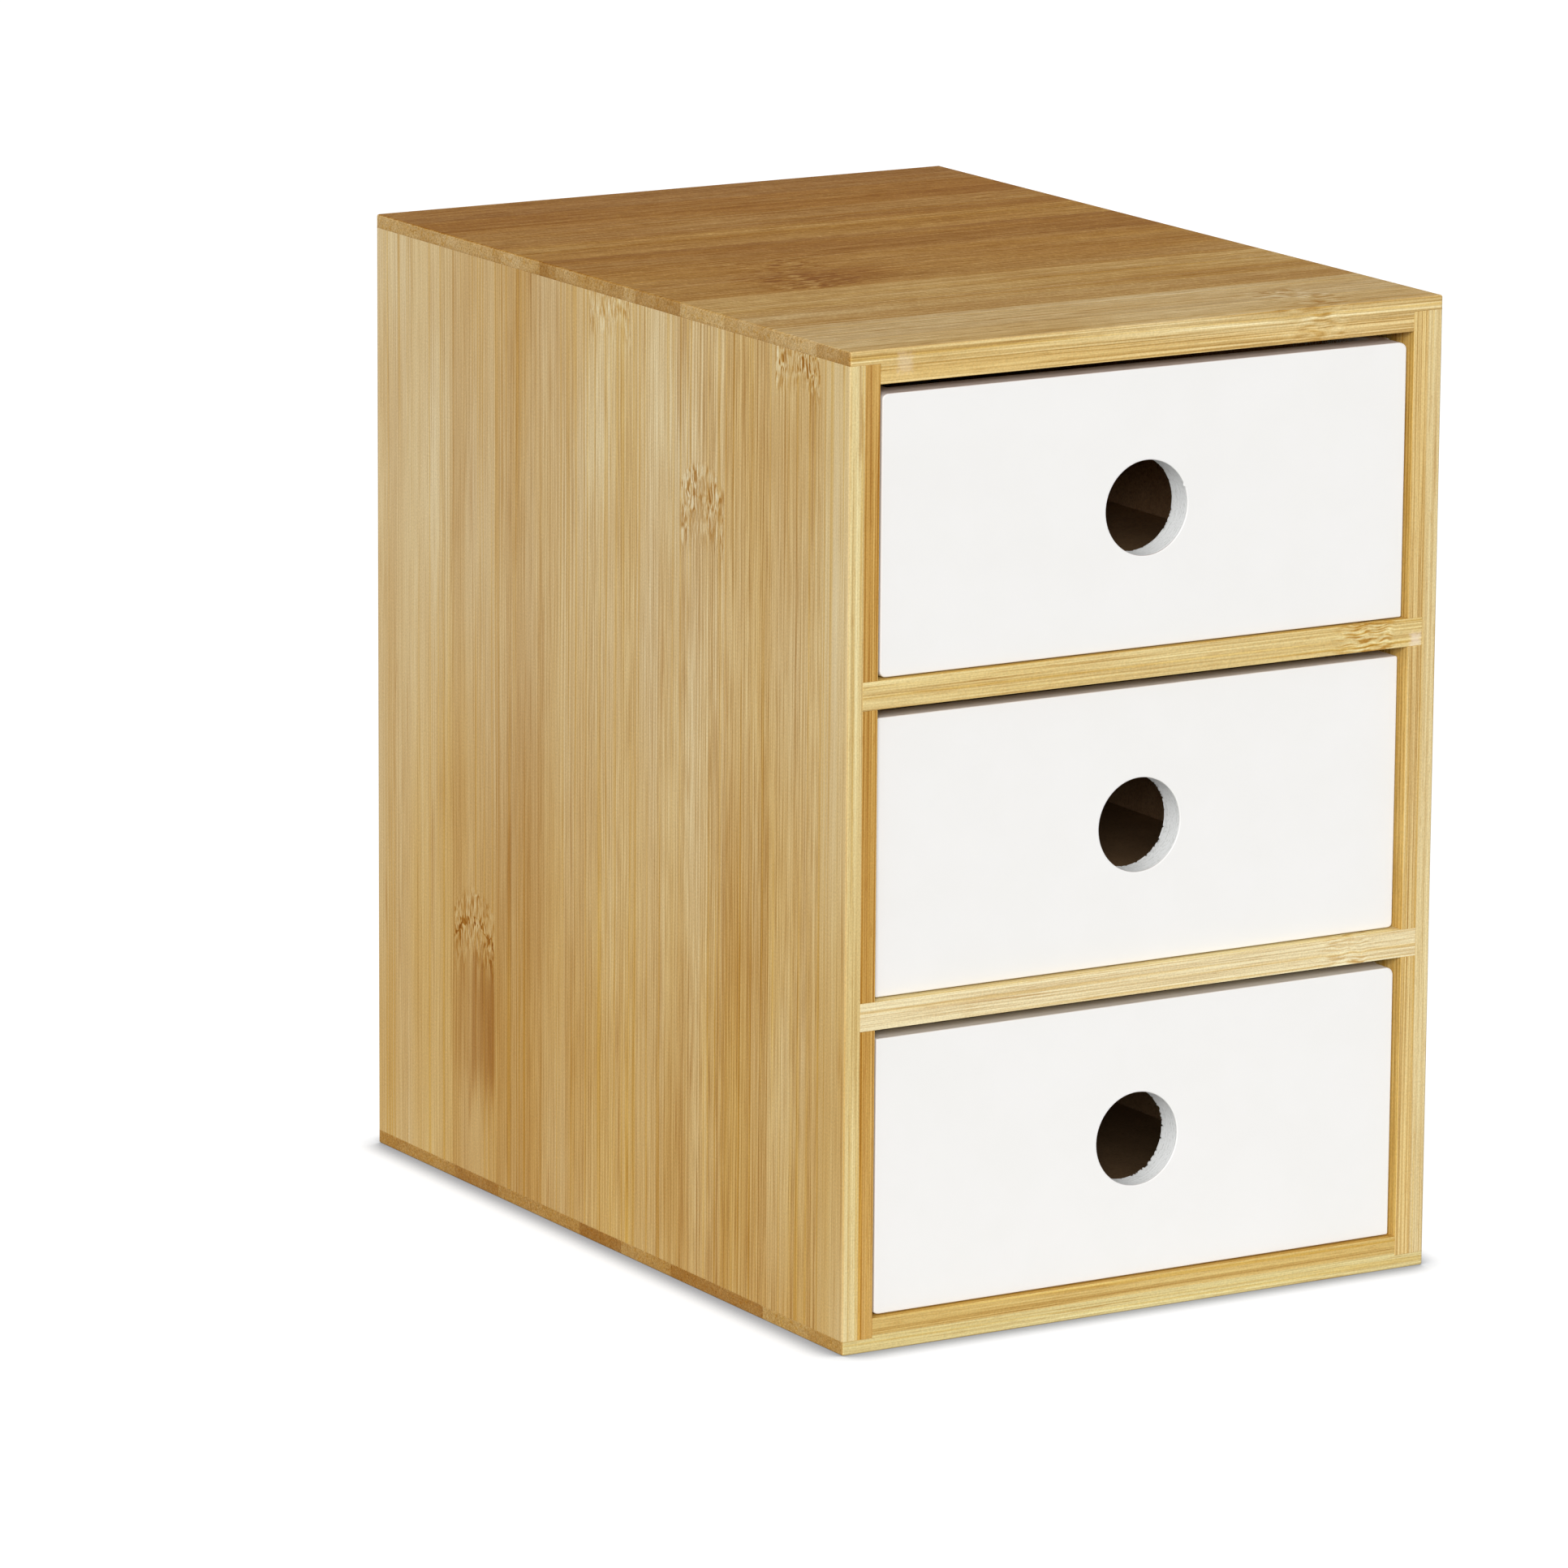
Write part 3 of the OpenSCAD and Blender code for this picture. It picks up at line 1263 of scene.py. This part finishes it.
def plain_ply(
    front_tone: float, warmth: float, edge_warmth: float = -0.3, edge_green: float = 1.0,
    fibre: float = 0.75,
) -> Ply:
    """Make a ply of ordinary strips.

    Args:
        front_tone: The tone of its front strip.
        warmth: How golden it is.
        edge_warmth: How much more golden its narrow edge is.
        edge_green: How much greener its narrow edge is.
        fibre: How strongly the front strip's fibres show.

    Returns:
        The ply.
    """
    return Ply(strips(
        (12.0, 0.70), (19.0, 0.75), (19.5, 0.68), (19.0, 0.73), (19.5, 0.70), (19.0, 0.76),
        (19.0, 0.69), (19.5, 0.74), (19.0, 0.71), (34.5, front_tone, fibre),
    ), warmth, edge_warmth, edge_green)


@dataclass
class Cabinet:
    """The glued cabinet: four boards, two shelves and the back panel.

    Attributes:
        body: The body that it is.
        arris: Rounding of its outer edges.
        bay_arris: Rounding of the edges round the bays.
        seam_arris: Rounding of the edges that meet another board.
        blocks: The boards by node, each with what seats in it cut out.
    """

    body: str = "cabinet"
    arris: float = 0.5 * MM
    bay_arris: float = 0.12 * MM
    seam_arris: float = 0.11 * MM
    blocks: dict[str, Block] = field(default_factory=dict)

    def __post_init__(self) -> None:
        """Read the blocks of the boards from the frame."""
        shelves = ("upper_shelf", "lower_shelf")
        sides = ("left_side_board", "right_side_board")
        for node in ("top_board", "bottom_board"):
            self.blocks[node] = Block.of(node, *sides, "back_panel")
        for node in sides:
            self.blocks[node] = Block.of(node, *shelves, "back_panel")
        for node in (*shelves, "back_panel"):
            self.blocks[node] = Block.of(node)

    def finishes(self) -> dict[str, Bamboo]:
        """List the finishes of the boards.

        Returns:
            The finish of each board by its node.
        """
        boards = (
            Bamboo(
                "left_side_board", Axis.Z, Axis.X, -1, LEFT_OUTER, LEFT_INNER, seed=1.0,
                # The painted sheen lightens the upper part of this board.
                painted_sheen=1.0, banding=1.15, tones=RUDDY_FIBRE,
                knuckles=(
                    Knuckle(141.4, 170.5), Knuckle(44.0, 60.0, pores=0.5),
                    Knuckle(103.0, 206.0, height_mm=10.0, strength=0.6),
                    Knuckle(179.5, 206.5, height_mm=10.0, strength=1.2),
                ),
                shades=(
                    Shade(44.0, 36.0, 19.0, 44.0, -0.09, 1.2), Shade(63.5, 78.0, 19.5, 110.0, -0.06),
                    Shade(48.0, 37.0, 10.5, 40.0, -0.17, 1.0),
                    Shade(160.5, 90.0, 18.0, 80.0, -0.07), Shade(137.0, 152.0, 9.0, 50.0, -0.05),
                    # These two make the middle strips darker low down and paler high up: painted sheen,
                    # going with the board's painted sheen.
                    Shade(112.0, 35.0, 58.0, 90.0, -0.03), Shade(122.0, 190.0, 58.0, 70.0, 0.045),
                    Shade(180.5, 30.0, 39.0, 100.0, 0.005, 0.0, -0.14),
                ),
                lines=(Line(1.8, 3.0, 0.02), Line(4.7, 0.9, -0.07), Line(6.2, 0.7, 0.045)),
            ),
            Bamboo(
                "right_side_board", Axis.Z, Axis.X, 1, RIGHT_OUTER, RIGHT_INNER, seed=2.3,
                knuckles=(Knuckle(76.0, 120.0), Knuckle(154.0, 41.0, pores=0.3)),
                shades=(Shade(95.5, 70.0, 18.5, 90.0, -0.05), Shade(134.0, 150.0, 18.5, 70.0, 0.03)),
                lines=(Line(3.9, 0.3, -0.04), Line(4.8, 0.5, -0.03)),
            ),
            Bamboo(
                "top_board", Axis.X, Axis.Z, 1, TOP_OUTER,
                plain_ply(0.762, 0.60, -0.22, 1.03, 1.3), TOP_ENDS,
                seed=3.1, fuzz=0.6, banding=1.7, tones=TOP_FIBRE, knuckles=(
                    Knuckle(121.0, 40.0, 18.6, 19.0, 1.7), Knuckle(103.0, 42.0, 17.0, 19.0, 0.9),
                    Knuckle(189.0, 118.0, 23.0, 14.0, 0.7),
                ),
                shades=(
                    Shade(121.0, 42.0, 19.7, 44.0, -0.12, 0.8, 0.12),
                    Shade(102.0, 60.0, 18.5, 110.0, -0.03),
                    Shade(74.5, 72.0, 4.0, 300.0, -0.07), Shade(54.0, 72.0, 3.5, 300.0, -0.06),
                    Shade(35.5, 72.0, 3.0, 300.0, -0.05), Shade(92.5, 100.0, 4.0, 200.0, -0.05),
                    Shade(64.0, 72.0, 14.0, 300.0, 0.03),
                ),
                lines=(
                    Line(2.0, 3.0, 0.01), Line(2.7, 0.4, -0.05), Line(4.6, 0.6, -0.04),
                    Line(5.7, 0.4, -0.03),
                ),
                fillers=(Filler((200.0, 3.2, 13.0), (3.0, 5.0, 4.2), 0.25),),
            ),
            Bamboo(
                "bottom_board", Axis.X, Axis.Z, -1, plain_ply(0.772, 0.46, -0.36, 1.079),
                plain_ply(0.69, 0.79, -0.32, 1.046, 0.85), BOTTOM_ENDS, seed=4.7,
                knuckles=(Knuckle(79.5, 60.0),),
            ),
            Bamboo(
                "upper_shelf", Axis.X, Axis.Z, 1, plain_ply(0.785, 0.70, -0.37, 1.025, 0.9),
                plain_ply(0.785, 0.70, -0.37, 1.025, 0.9), outer_mm=3.0, seed=5.9,
                knuckles=(Knuckle(188.0, 130.0, 24.0, 12.0, 0.8),),
                fillers=(Filler((197.0, 4.6, 139.8), (3.0, 3.6, 3.2)),),
            ),
            Bamboo(
                "lower_shelf", Axis.X, Axis.Z, 1, plain_ply(0.898, 0.33, -0.36, 0.988),
                plain_ply(0.892, 0.33, -0.36, 0.988), outer_mm=3.0, seed=6.4,
                knuckles=(Knuckle(188.0, 126.0, 24.0, 10.0, 0.5),),
            ),
            Bamboo(
                "back_panel", Axis.Z, Axis.Y, 1, plain_ply(0.74, 0.55), plain_ply(0.72, 0.6),
                outer_mm=1.5, seed=7.7,
            ),
        )
        return {board.name: board for board in boards}

    def _is_covered(self, node: str, point: Vector) -> bool:
        """Tell whether another board of the cabinet fills a point."""
        return any(block.holds(point) for name, block in self.blocks.items() if name != node)

    def _radius(self, node: str, edge: bmesh.types.BMEdge) -> float:
        """Give the radius of a board's edge.

        Args:
            node: The board.
            edge: One of its outer edges.

        Returns:
            The radius of a seam, of an edge round a bay or of an outer edge.
        """
        middle = (edge.verts[0].co + edge.verts[1].co) / 2
        first, second = (face.normal for face in edge.link_faces)
        near = 0.05 * MM
        beside = (middle + (first - second) * near, middle + (second - first) * near)
        if any(self._is_covered(node, point) for point in beside):
            return self.seam_arris
        outside = sum(
            min(abs(place - low), abs(place - high)) < LEVEL
            for place, low, high in zip(middle, *CAD_BOX)
        )
        return self.arris if outside >= 2 else self.bay_arris

    def build(self) -> Iterator[bpy.types.Object]:
        """Build and dress the boards.

        Returns:
            The boards, one by one.
        """
        easing = Easing(self.arris)
        for node, finish in self.finishes().items():
            block = self.blocks[node]
            bm = block.mesh()
            easing.weigh(bm, lambda edge, board=node: self._radius(board, edge))
            piece = make_piece(f"{node}_bamboo", bm, [finish.material(block.low, block.high)])
            easing.apply_to(piece)
            slot = Slot.BAMBOO_PLY if node == "back_panel" else Slot.BAMBOO
            yield stand_for(piece, node, self.body, slot)


# ---------------------------------------------------------------- drawers


@dataclass(frozen=True)
class Corner:
    """How far sanding has rounded a corner of a drawer's front."""

    across_mm: float
    down_mm: float


@dataclass(frozen=True)
class SandedCorners:
    """The four corners of a drawer, seen from the front."""

    top_left: Corner
    top_right: Corner
    bottom_right: Corner
    bottom_left: Corner


@dataclass(frozen=True)
class Wear:
    """What sets one drawer apart from the others.

    Attributes:
        corners: How its corners are sanded.
        painted_board_light: How light the bare board inside it is made, painted shade and light that set
            how dark its inside looks through the finger hole.
        painted_top_shade: How dark its upper edges are painted, a painted shade for the shade under the
            board above them.
        raggedness: How much the rear rim of its finger hole is chipped.
        burr_mm: How far a burr of paint stands into the front rim.
        burr_turn: Where it is, in degrees round from the right.
        burr_width: How wide half of it is, in degrees.
    """

    corners: SandedCorners
    painted_board_light: float
    painted_top_shade: float
    raggedness: float = 1.0
    burr_mm: float = 0.0
    burr_turn: float = 24.0
    burr_width: float = 4.0


DRAWERS = {
    "bottom": Wear(
        SandedCorners(Corner(0.4, 0.4), Corner(1.7, 1.8), Corner(0.45, 0.45), Corner(1.4, 0.7)),
        painted_board_light=0.6, painted_top_shade=0.3, raggedness=1.3,
    ),
    "middle": Wear(
        SandedCorners(Corner(0.4, 0.4), Corner(0.5, 0.5), Corner(1.0, 1.0), Corner(0.5, 0.5)),
        painted_board_light=0.8, painted_top_shade=0.34,
    ),
    "top": Wear(
        SandedCorners(Corner(1.5, 1.3), Corner(2.2, 1.6), Corner(0.4, 0.4), Corner(1.4, 1.4)),
        painted_board_light=1.05, painted_top_shade=0.62, raggedness=0.45, burr_mm=0.6,
    ),
}


class FrontFace(IntEnum):
    """The materials of a drawer's front, by their place on its mesh."""

    PAINTED = 0
    BORED = 1
    BARE = 2


@dataclass
class Drawer:
    """One painted drawer: front, two sides, back and floor.

    Attributes:
        level: The bay it is in, which its nodes and its body are named after.
        wear: What sets it apart.
        bored: The finish of the hole's wall, which the drawers share.
        chips: Sets the drawer's chipped hole rim apart from the others'.
        front_arris: Rounding of the edges of the front face.
        arris: Rounding of the other painted edges.
        glued_arris: Rounding of the edges that are glued.
        widest_arris: More than any corner is rounded by.
        hole_radius: Radius of the finger hole.
        hole_arris: Rounding of the hole's front rim.
        chip_depth: How far into the hole the chips of its rear rim begin.
        chip_reach: How far they reach outward on the rear face.
        painted_wall_light: How much lighter the walls' inner faces are than the floor, painted light on
            the same bare board.
    """

    level: str
    wear: Wear
    bored: bpy.types.Material
    chips: float
    front_arris: float = 0.3 * MM
    arris: float = 0.35 * MM
    glued_arris: float = 0.1 * MM
    widest_arris: float = 2.0 * MM
    hole_radius: float = 10.0 * MM
    hole_arris: float = 0.28 * MM
    chip_depth: float = 0.9 * MM
    chip_reach: float = 0.2 * MM
    painted_wall_light: float = 1.3

    @property
    def body(self) -> str:
        """Name the body that the drawer is."""
        return f"{self.level}_drawer"

    def node(self, piece: str) -> str:
        """Name the node of one of its pieces."""
        return f"{self.body}_{piece}"

    def box(self, piece: str) -> tuple[Vector, Vector]:
        """Give the lowest and the highest corner of one of its pieces."""
        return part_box(self.node(piece))

    def build(self) -> Iterator[bpy.types.Object]:
        """Build and dress the pieces of the drawer.

        Returns:
            The pieces, one by one.
        """
        top_mm = self.box("back")[1].z * PER_METRE
        # Painted shade and light: each drawer's bare board is made darker or lighter, and its walls'
        # inner faces lighter than its floor.
        light = self.wear.painted_board_light
        inside = Fibreboard(f"{self.body}_inside", light * self.painted_wall_light, top_mm).material()
        paint = WhitePaint(f"{self.body}_paint", self.wear.painted_top_shade).material()
        yield self._front([paint, self.bored, inside])
        for name, inward in (
            ("left_side", Vector((1, 0, 0))), ("right_side", Vector((-1, 0, 0))),
            ("back", Vector((0, -1, 0))),
        ):
            yield self._wall(name, inward, [paint, inside])
        yield self._floor(Fibreboard(f"{self.body}_floor", light).material())

    def _outline(self, y: float, inset: float = 0.0) -> list[Vector]:
        """Give the front's outline with its sanded corners.

        Args:
            y: The depth that the points lie at.
            inset: How far inside the outline they lie.

        Returns:
            The points, going round from the lower left corner.
        """
        steps, least = 8, 0.02 * MM
        low, high = self.box("front")
        named = self.wear.corners
        corners = (
            (named.bottom_left, low.x, low.z, 180.0),
            (named.bottom_right, high.x, low.z, 270.0),
            (named.top_right, high.x, high.z, 0.0),
            (named.top_left, low.x, high.z, 90.0),
        )
        points = []
        for corner, x, z, start in corners:
            reach_x, reach_z = corner.across_mm * MM, corner.down_mm * MM
            centre_x = x + math.copysign(reach_x, -x)
            centre_z = z + (reach_z if z == low.z else -reach_z)
            for step in range(steps + 1):
                turn = math.radians(start + 90.0 * step / steps)
                points.append(Vector((
                    centre_x + max(reach_x - inset, least) * math.cos(turn), y,
                    centre_z + max(reach_z - inset, least) * math.sin(turn),
                )))
        return points

    def _rim(
        self, y: float, growth: float = 0.0, chipped: float = 0.0, burr: float = 0.0
    ) -> list[Vector]:
        """Give a ring of the finger hole's wall.

        Args:
            y: The depth of the ring.
            growth: How much wider than the bore it is.
            chipped: How deep its chips are.
            burr: How far the single burr stands in.

        Returns:
            The points of the ring.
        """
        count, calm = 256, 0.5
        waves = ((5, 1.0), (19, 1.3), (47, 1.2), (71, 1.3), (97, 1.5))
        low, high = self.box("front")
        centre = (low + high) / 2
        points = []
        for step in range(count):
            turn = math.tau * step / count
            wave = sum(math.sin(turn * pace + self.chips * pace) / weight for pace, weight in waves)
            off = (math.degrees(turn) - self.wear.burr_turn) / self.wear.burr_width
            radius = self.hole_radius + growth + chipped * max(wave - calm, 0.0)
            radius -= burr * max(1.0 - off * off, 0.0)
            points.append(Vector((
                centre.x + radius * math.cos(turn), y, centre.z + radius * math.sin(turn)
            )))
        return points

    def _front(self, materials: Sequence[bpy.types.Material]) -> bpy.types.Object:
        """Build the front: its outline, the bored hole and the groove for the floor.

        Args:
            materials: The paint, the finish of the hole and that of the rear face.

        Returns:
            The front.
        """
        low, high = self.box("front")
        edge, rim, deep = self.front_arris, self.hole_arris, self.chip_depth
        chipped = self.chip_reach * self.wear.raggedness
        partway, part_chipped = 0.3, 0.45
        turns = [math.radians(angle) for angle in (90.0, 60.0, 30.0, 0.0)]
        arc = [(1 - math.sin(turn), 1 - math.cos(turn)) for turn in turns]
        walls = [self._outline(low.y + edge * back, edge * out) for back, out in arc]
        rings = [
            self._rim(low.y + rim * back, rim * out, burr=self.wear.burr_mm * MM * out)
            for back, out in arc
        ]
        rings += [
            self._rim(high.y - deep), self._rim(high.y - deep * partway, chipped=chipped * part_chipped),
            self._rim(high.y, chipped=chipped),
        ]
        bm = bmesh.new()
        skin = loft(bm, [*walls, self._outline(high.y)], FrontFace.PAINTED)
        bore = loft(bm, rings, FrontFace.BORED)
        for ring_edge in chain(*bore[:len(turns) - 1]):
            for face in ring_edge.link_faces:
                face.material_index = FrontFace.PAINTED
        groove = self._groove(bm, high.y)
        fill_between(bm, (skin[0], bore[0]), FrontFace.PAINTED)
        fill_between(bm, (skin[-1], bore[-1], groove), FrontFace.BARE)
        bmesh.ops.recalc_face_normals(bm, faces=bm.faces)
        sharpen(bm, math.radians(50.0))
        piece = make_piece(f"{self.node('front')}_painted", bm, materials)
        keep_flats_flat(piece)
        return stand_for(piece, self.node("front"), self.body, Slot.PAINT)

    def _groove(self, bm: bmesh.types.BMesh, mouth_y: float) -> list[bmesh.types.BMEdge]:
        """Build the groove in the front's rear face that holds the floor.

        Args:
            bm: The mesh that it is added to.
            mouth_y: The depth of the front's rear face.

        Returns:
            The edges of the groove's mouth.
        """
        low, high = self.box("floor")
        corners = [(low.x, low.z), (high.x, low.z), (high.x, high.z), (low.x, high.z)]
        rings = [[Vector((x, y, z)) for x, z in corners] for y in (low.y, mouth_y)]
        bottom, mouth = loft(bm, rings, FrontFace.BARE)
        for face in bmesh.ops.contextual_create(bm, geom=bottom)["faces"]:
            face.material_index = FrontFace.BARE
        return mouth

    def _radius(self, edge: bmesh.types.BMEdge) -> float:
        """Give the radius of an edge of a drawer's side or back.

        Args:
            edge: One of its outer edges.

        Returns:
            The radius.
        """
        low, high = self.box("left_side")[0], self.box("right_side")[1]
        first, second = (vert.co for vert in edge.verts)
        middle = (first + second) / 2
        at_side = min(middle.x - low.x, high.x - middle.x) < LEVEL
        at_top, at_bottom = high.z - middle.z < LEVEL, middle.z - low.z < LEVEL
        if at_side and (at_top or at_bottom) and abs(first.y - second.y) > LEVEL:
            named, left = self.wear.corners, middle.x < 0
            if at_top:
                corner = named.top_left if left else named.top_right
            else:
                corner = named.bottom_left if left else named.bottom_right
            return (corner.across_mm + corner.down_mm) / 2 * MM
        return self.arris if at_top or at_bottom or at_side else self.glued_arris

    def _wall(
        self, name: str, inward: Vector, materials: Sequence[bpy.types.Material]
    ) -> bpy.types.Object:
        """Build a side or the back, with its groove for the floor.

        Args:
            name: left_side, right_side or back.
            inward: The direction into the drawer.
            materials: The paint, and the finish of the face that looks inward.

        Returns:
            The wall.
        """
        facing = 0.9
        bm = Block.of(self.node(name), self.node("floor")).mesh()
        for face in bm.faces:
            face.material_index = int(face.normal.dot(inward) > facing)
        easing = Easing(self.widest_arris, segments=4)
        easing.weigh(bm, self._radius)
        piece = make_piece(f"{self.node(name)}_painted", bm, materials)
        easing.apply_to(piece)
        return stand_for(piece, self.node(name), self.body, Slot.PAINT)

    def _floor(self, bare: bpy.types.Material) -> bpy.types.Object:
        """Build the thin floor that lies in the grooves.

        Args:
            bare: The finish of bare board.

        Returns:
            The floor.
        """
        bm = Block.of(self.node("floor")).mesh()
        easing = Easing(self.glued_arris, segments=2)
        easing.weigh(bm, lambda edge: self.glued_arris)
        piece = make_piece(f"{self.node('floor')}_board", bm, [bare])
        easing.apply_to(piece)
        return stand_for(piece, self.node("floor"), self.body, Slot.FIBREBOARD)


# ---------------------------------------------------------------- studio


def direction(azimuth: float, elevation: float) -> Vector:
    """Give the direction from the cabinet toward a place.

    Args:
        azimuth: How far the place is round to the right of the front, in degrees.
        elevation: How high it is, in degrees.

    Returns:
        The direction.
    """
    turn, lift = math.radians(azimuth), math.radians(elevation)
    level = math.cos(lift)
    return Vector((math.sin(turn) * level, -math.cos(turn) * level, math.sin(lift)))


@dataclass(frozen=True)
class Lamp:
    """A far soft light, named by where it stands round the cabinet."""

    name: str
    azimuth: float
    elevation: float
    strength: float
    spread: float

    def hang(self) -> None:
        """Hang the lamp where its light comes from its direction."""
        data = bpy.data.lights.new(self.name, "SUN")
        data.energy = self.strength * math.pi
        data.angle = math.radians(self.spread)
        lamp = add_object(self.name, data)
        lamp.rotation_mode = "QUATERNION"
        lamp.rotation_quaternion = direction(self.azimuth, self.elevation).to_track_quat("Z", "Y")


@dataclass
class Studio:
    """The camera, the pale floor and the soft light.

    Attributes:
        azimuth: How far the camera stands round to the right, in degrees.
        elevation: How far it looks down, in degrees.
        roll: How far it is turned about its own axis, in degrees.
        position: Where it stands.
        lens_mm: Its focal length.
        sensor_mm: The width of its sensor.
        ambient: How strong the light from all round is.
        key: The lamp.
        floor_size: The length of the floor's sides.
        floor_light: How much of the light on it the floor gives back to the object.
        floor_shade: How much of it the floor shows, over its own glow.
        lit: The floor's glow in the open.
        painted_contact_shadow: Its glow along the foot of the object, a painted contact shadow.
        shadow_reach: How far that dark strip reaches.
    """

    azimuth: float = -30.967
    elevation: float = 12.526
    roll: float = 0.387
    position: tuple[float, float, float] = (-1.060483, -1.721537, 0.54272)
    lens_mm: float = 219.526
    sensor_mm: float = 36.0
    ambient: float = 0.42
    key: Lamp = Lamp("key_light", -34.0, 21.5, 0.80, 23.0)
    floor_size: float = 6.0
    floor_light: Rgba = (0.5, 0.5, 0.5, 1.0)
    floor_shade: Rgba = (0.25, 0.25, 0.25, 1.0)
    lit: Rgba = (0.9, 0.9, 0.9, 1.0)
    painted_contact_shadow: Rgba = (0.225, 0.24, 0.262, 1.0)
    shadow_reach: float = 9.2 * MM

    def build(self) -> None:
        """Set up the whole studio."""
        bpy.context.scene.view_settings.view_transform = "Standard"
        self._camera()
        self._floor()
        self._world()
        self.key.hang()

    def _camera(self) -> None:
        """Stand the camera at its angle."""
        data = bpy.data.cameras.new("camera")
        data.sensor_width = self.sensor_mm
        data.lens = self.lens_mm
        data.clip_end = 20.0
        back = direction(self.azimuth, self.elevation)
        right = (-back).cross(Vector((0, 0, 1))).normalized()
        upright = Matrix((right, right.cross(-back), back)).transposed().to_4x4()
        rolled = upright @ Matrix.Rotation(math.radians(self.roll), 4, "Z")
        camera = add_object("camera", data)
        camera.matrix_world = Matrix.Translation(self.position) @ rolled
        bpy.context.scene.camera = camera

    def _floor(self) -> None:
        """Lay the floor, seen white except where the object shades it, with a painted contact shadow
        along the object's foot.
        """
        tree = ShaderTree.material("studio_floor")
        matt, shaded = (
            tree.value("ShaderNodeBsdfDiffuse", sockets={"Color": colour})
            for colour in (self.floor_light, self.floor_shade)
        )
        # Painted contact shadow: the glow dims where ambient occlusion finds the object near.
        darkest, open_air = 0.48, 1.0
        reach = {"Distance": self.shadow_reach}
        near = tree.value("ShaderNodeAmbientOcclusion", {"samples": 16}, reach, "AO")
        glow = tree.mix(near.step(darkest, open_air), self.painted_contact_shadow, self.lit)
        shine = tree.value("ShaderNodeEmission", sockets={"Color": glow, "Strength": 1.0})
        bright = tree.value("ShaderNodeAddShader", sockets={0: shaded, 1: shine})
        self._show(tree, matt, bright)
        bm = bmesh.new()
        bmesh.ops.create_grid(bm, x_segments=2, y_segments=2, size=self.floor_size / 2)
        make_piece("studio_floor", bm, [tree.owner])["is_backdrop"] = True

    def _world(self) -> None:
        """Surround the scene with even light, and with white where it is seen."""
        world = bpy.data.worlds.new("studio")
        bpy.context.scene.world = world
        tree = ShaderTree(world)
        light, seen = (
            tree.value("ShaderNodeBackground", sockets={0: (1.0,) * 4, 1: strength})
            for strength in (self.ambient, 1.0)
        )
        self._show(tree, light, seen)

    def _show(self, tree: ShaderTree, lighting: Value, seen: Value) -> None:
        """Send one shader to the lighting and another to what the camera sees.

        Args:
            tree: The tree.
            lighting: The shader that lights the object.
            seen: The shader that is seen, also in a reflection or through glass.
        """
        path = tree.node("ShaderNodeLightPath")
        camera, glossy, glass = (
            Value(tree, path.outputs[name])
            for name in ("Is Camera Ray", "Is Glossy Ray", "Is Transmission Ray")
        )
        sockets = {0: camera.larger(glossy).larger(glass), 1: lighting, 2: seen}
        tree.surface(tree.value("ShaderNodeMixShader", sockets=sockets))


def write_sizes() -> None:
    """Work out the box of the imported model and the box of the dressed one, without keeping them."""
    boxes = {"cad": CAD_BOX, "visual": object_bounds()}
    {name: [list(corner) for corner in box] for name, box in boxes.items()}


def main() -> None:
    """Build the studio, the cabinet and the drawers, and report each piece."""
    logging.basicConfig(level=logging.INFO, format="%(name)s: %(message)s")
    Studio().build()
    bored = BoredPaint().material()
    makers: list[Cabinet | Drawer] = [Cabinet()]
    makers += [
        Drawer(level, wear, bored, chips=float(index))
        for index, (level, wear) in enumerate(DRAWERS.items())
    ]
    count = sum(1 for maker in makers for _ in maker.build())
    LOG.info("%d pieces built", count)
    write_sizes()


if __name__ == "__main__":
    main()
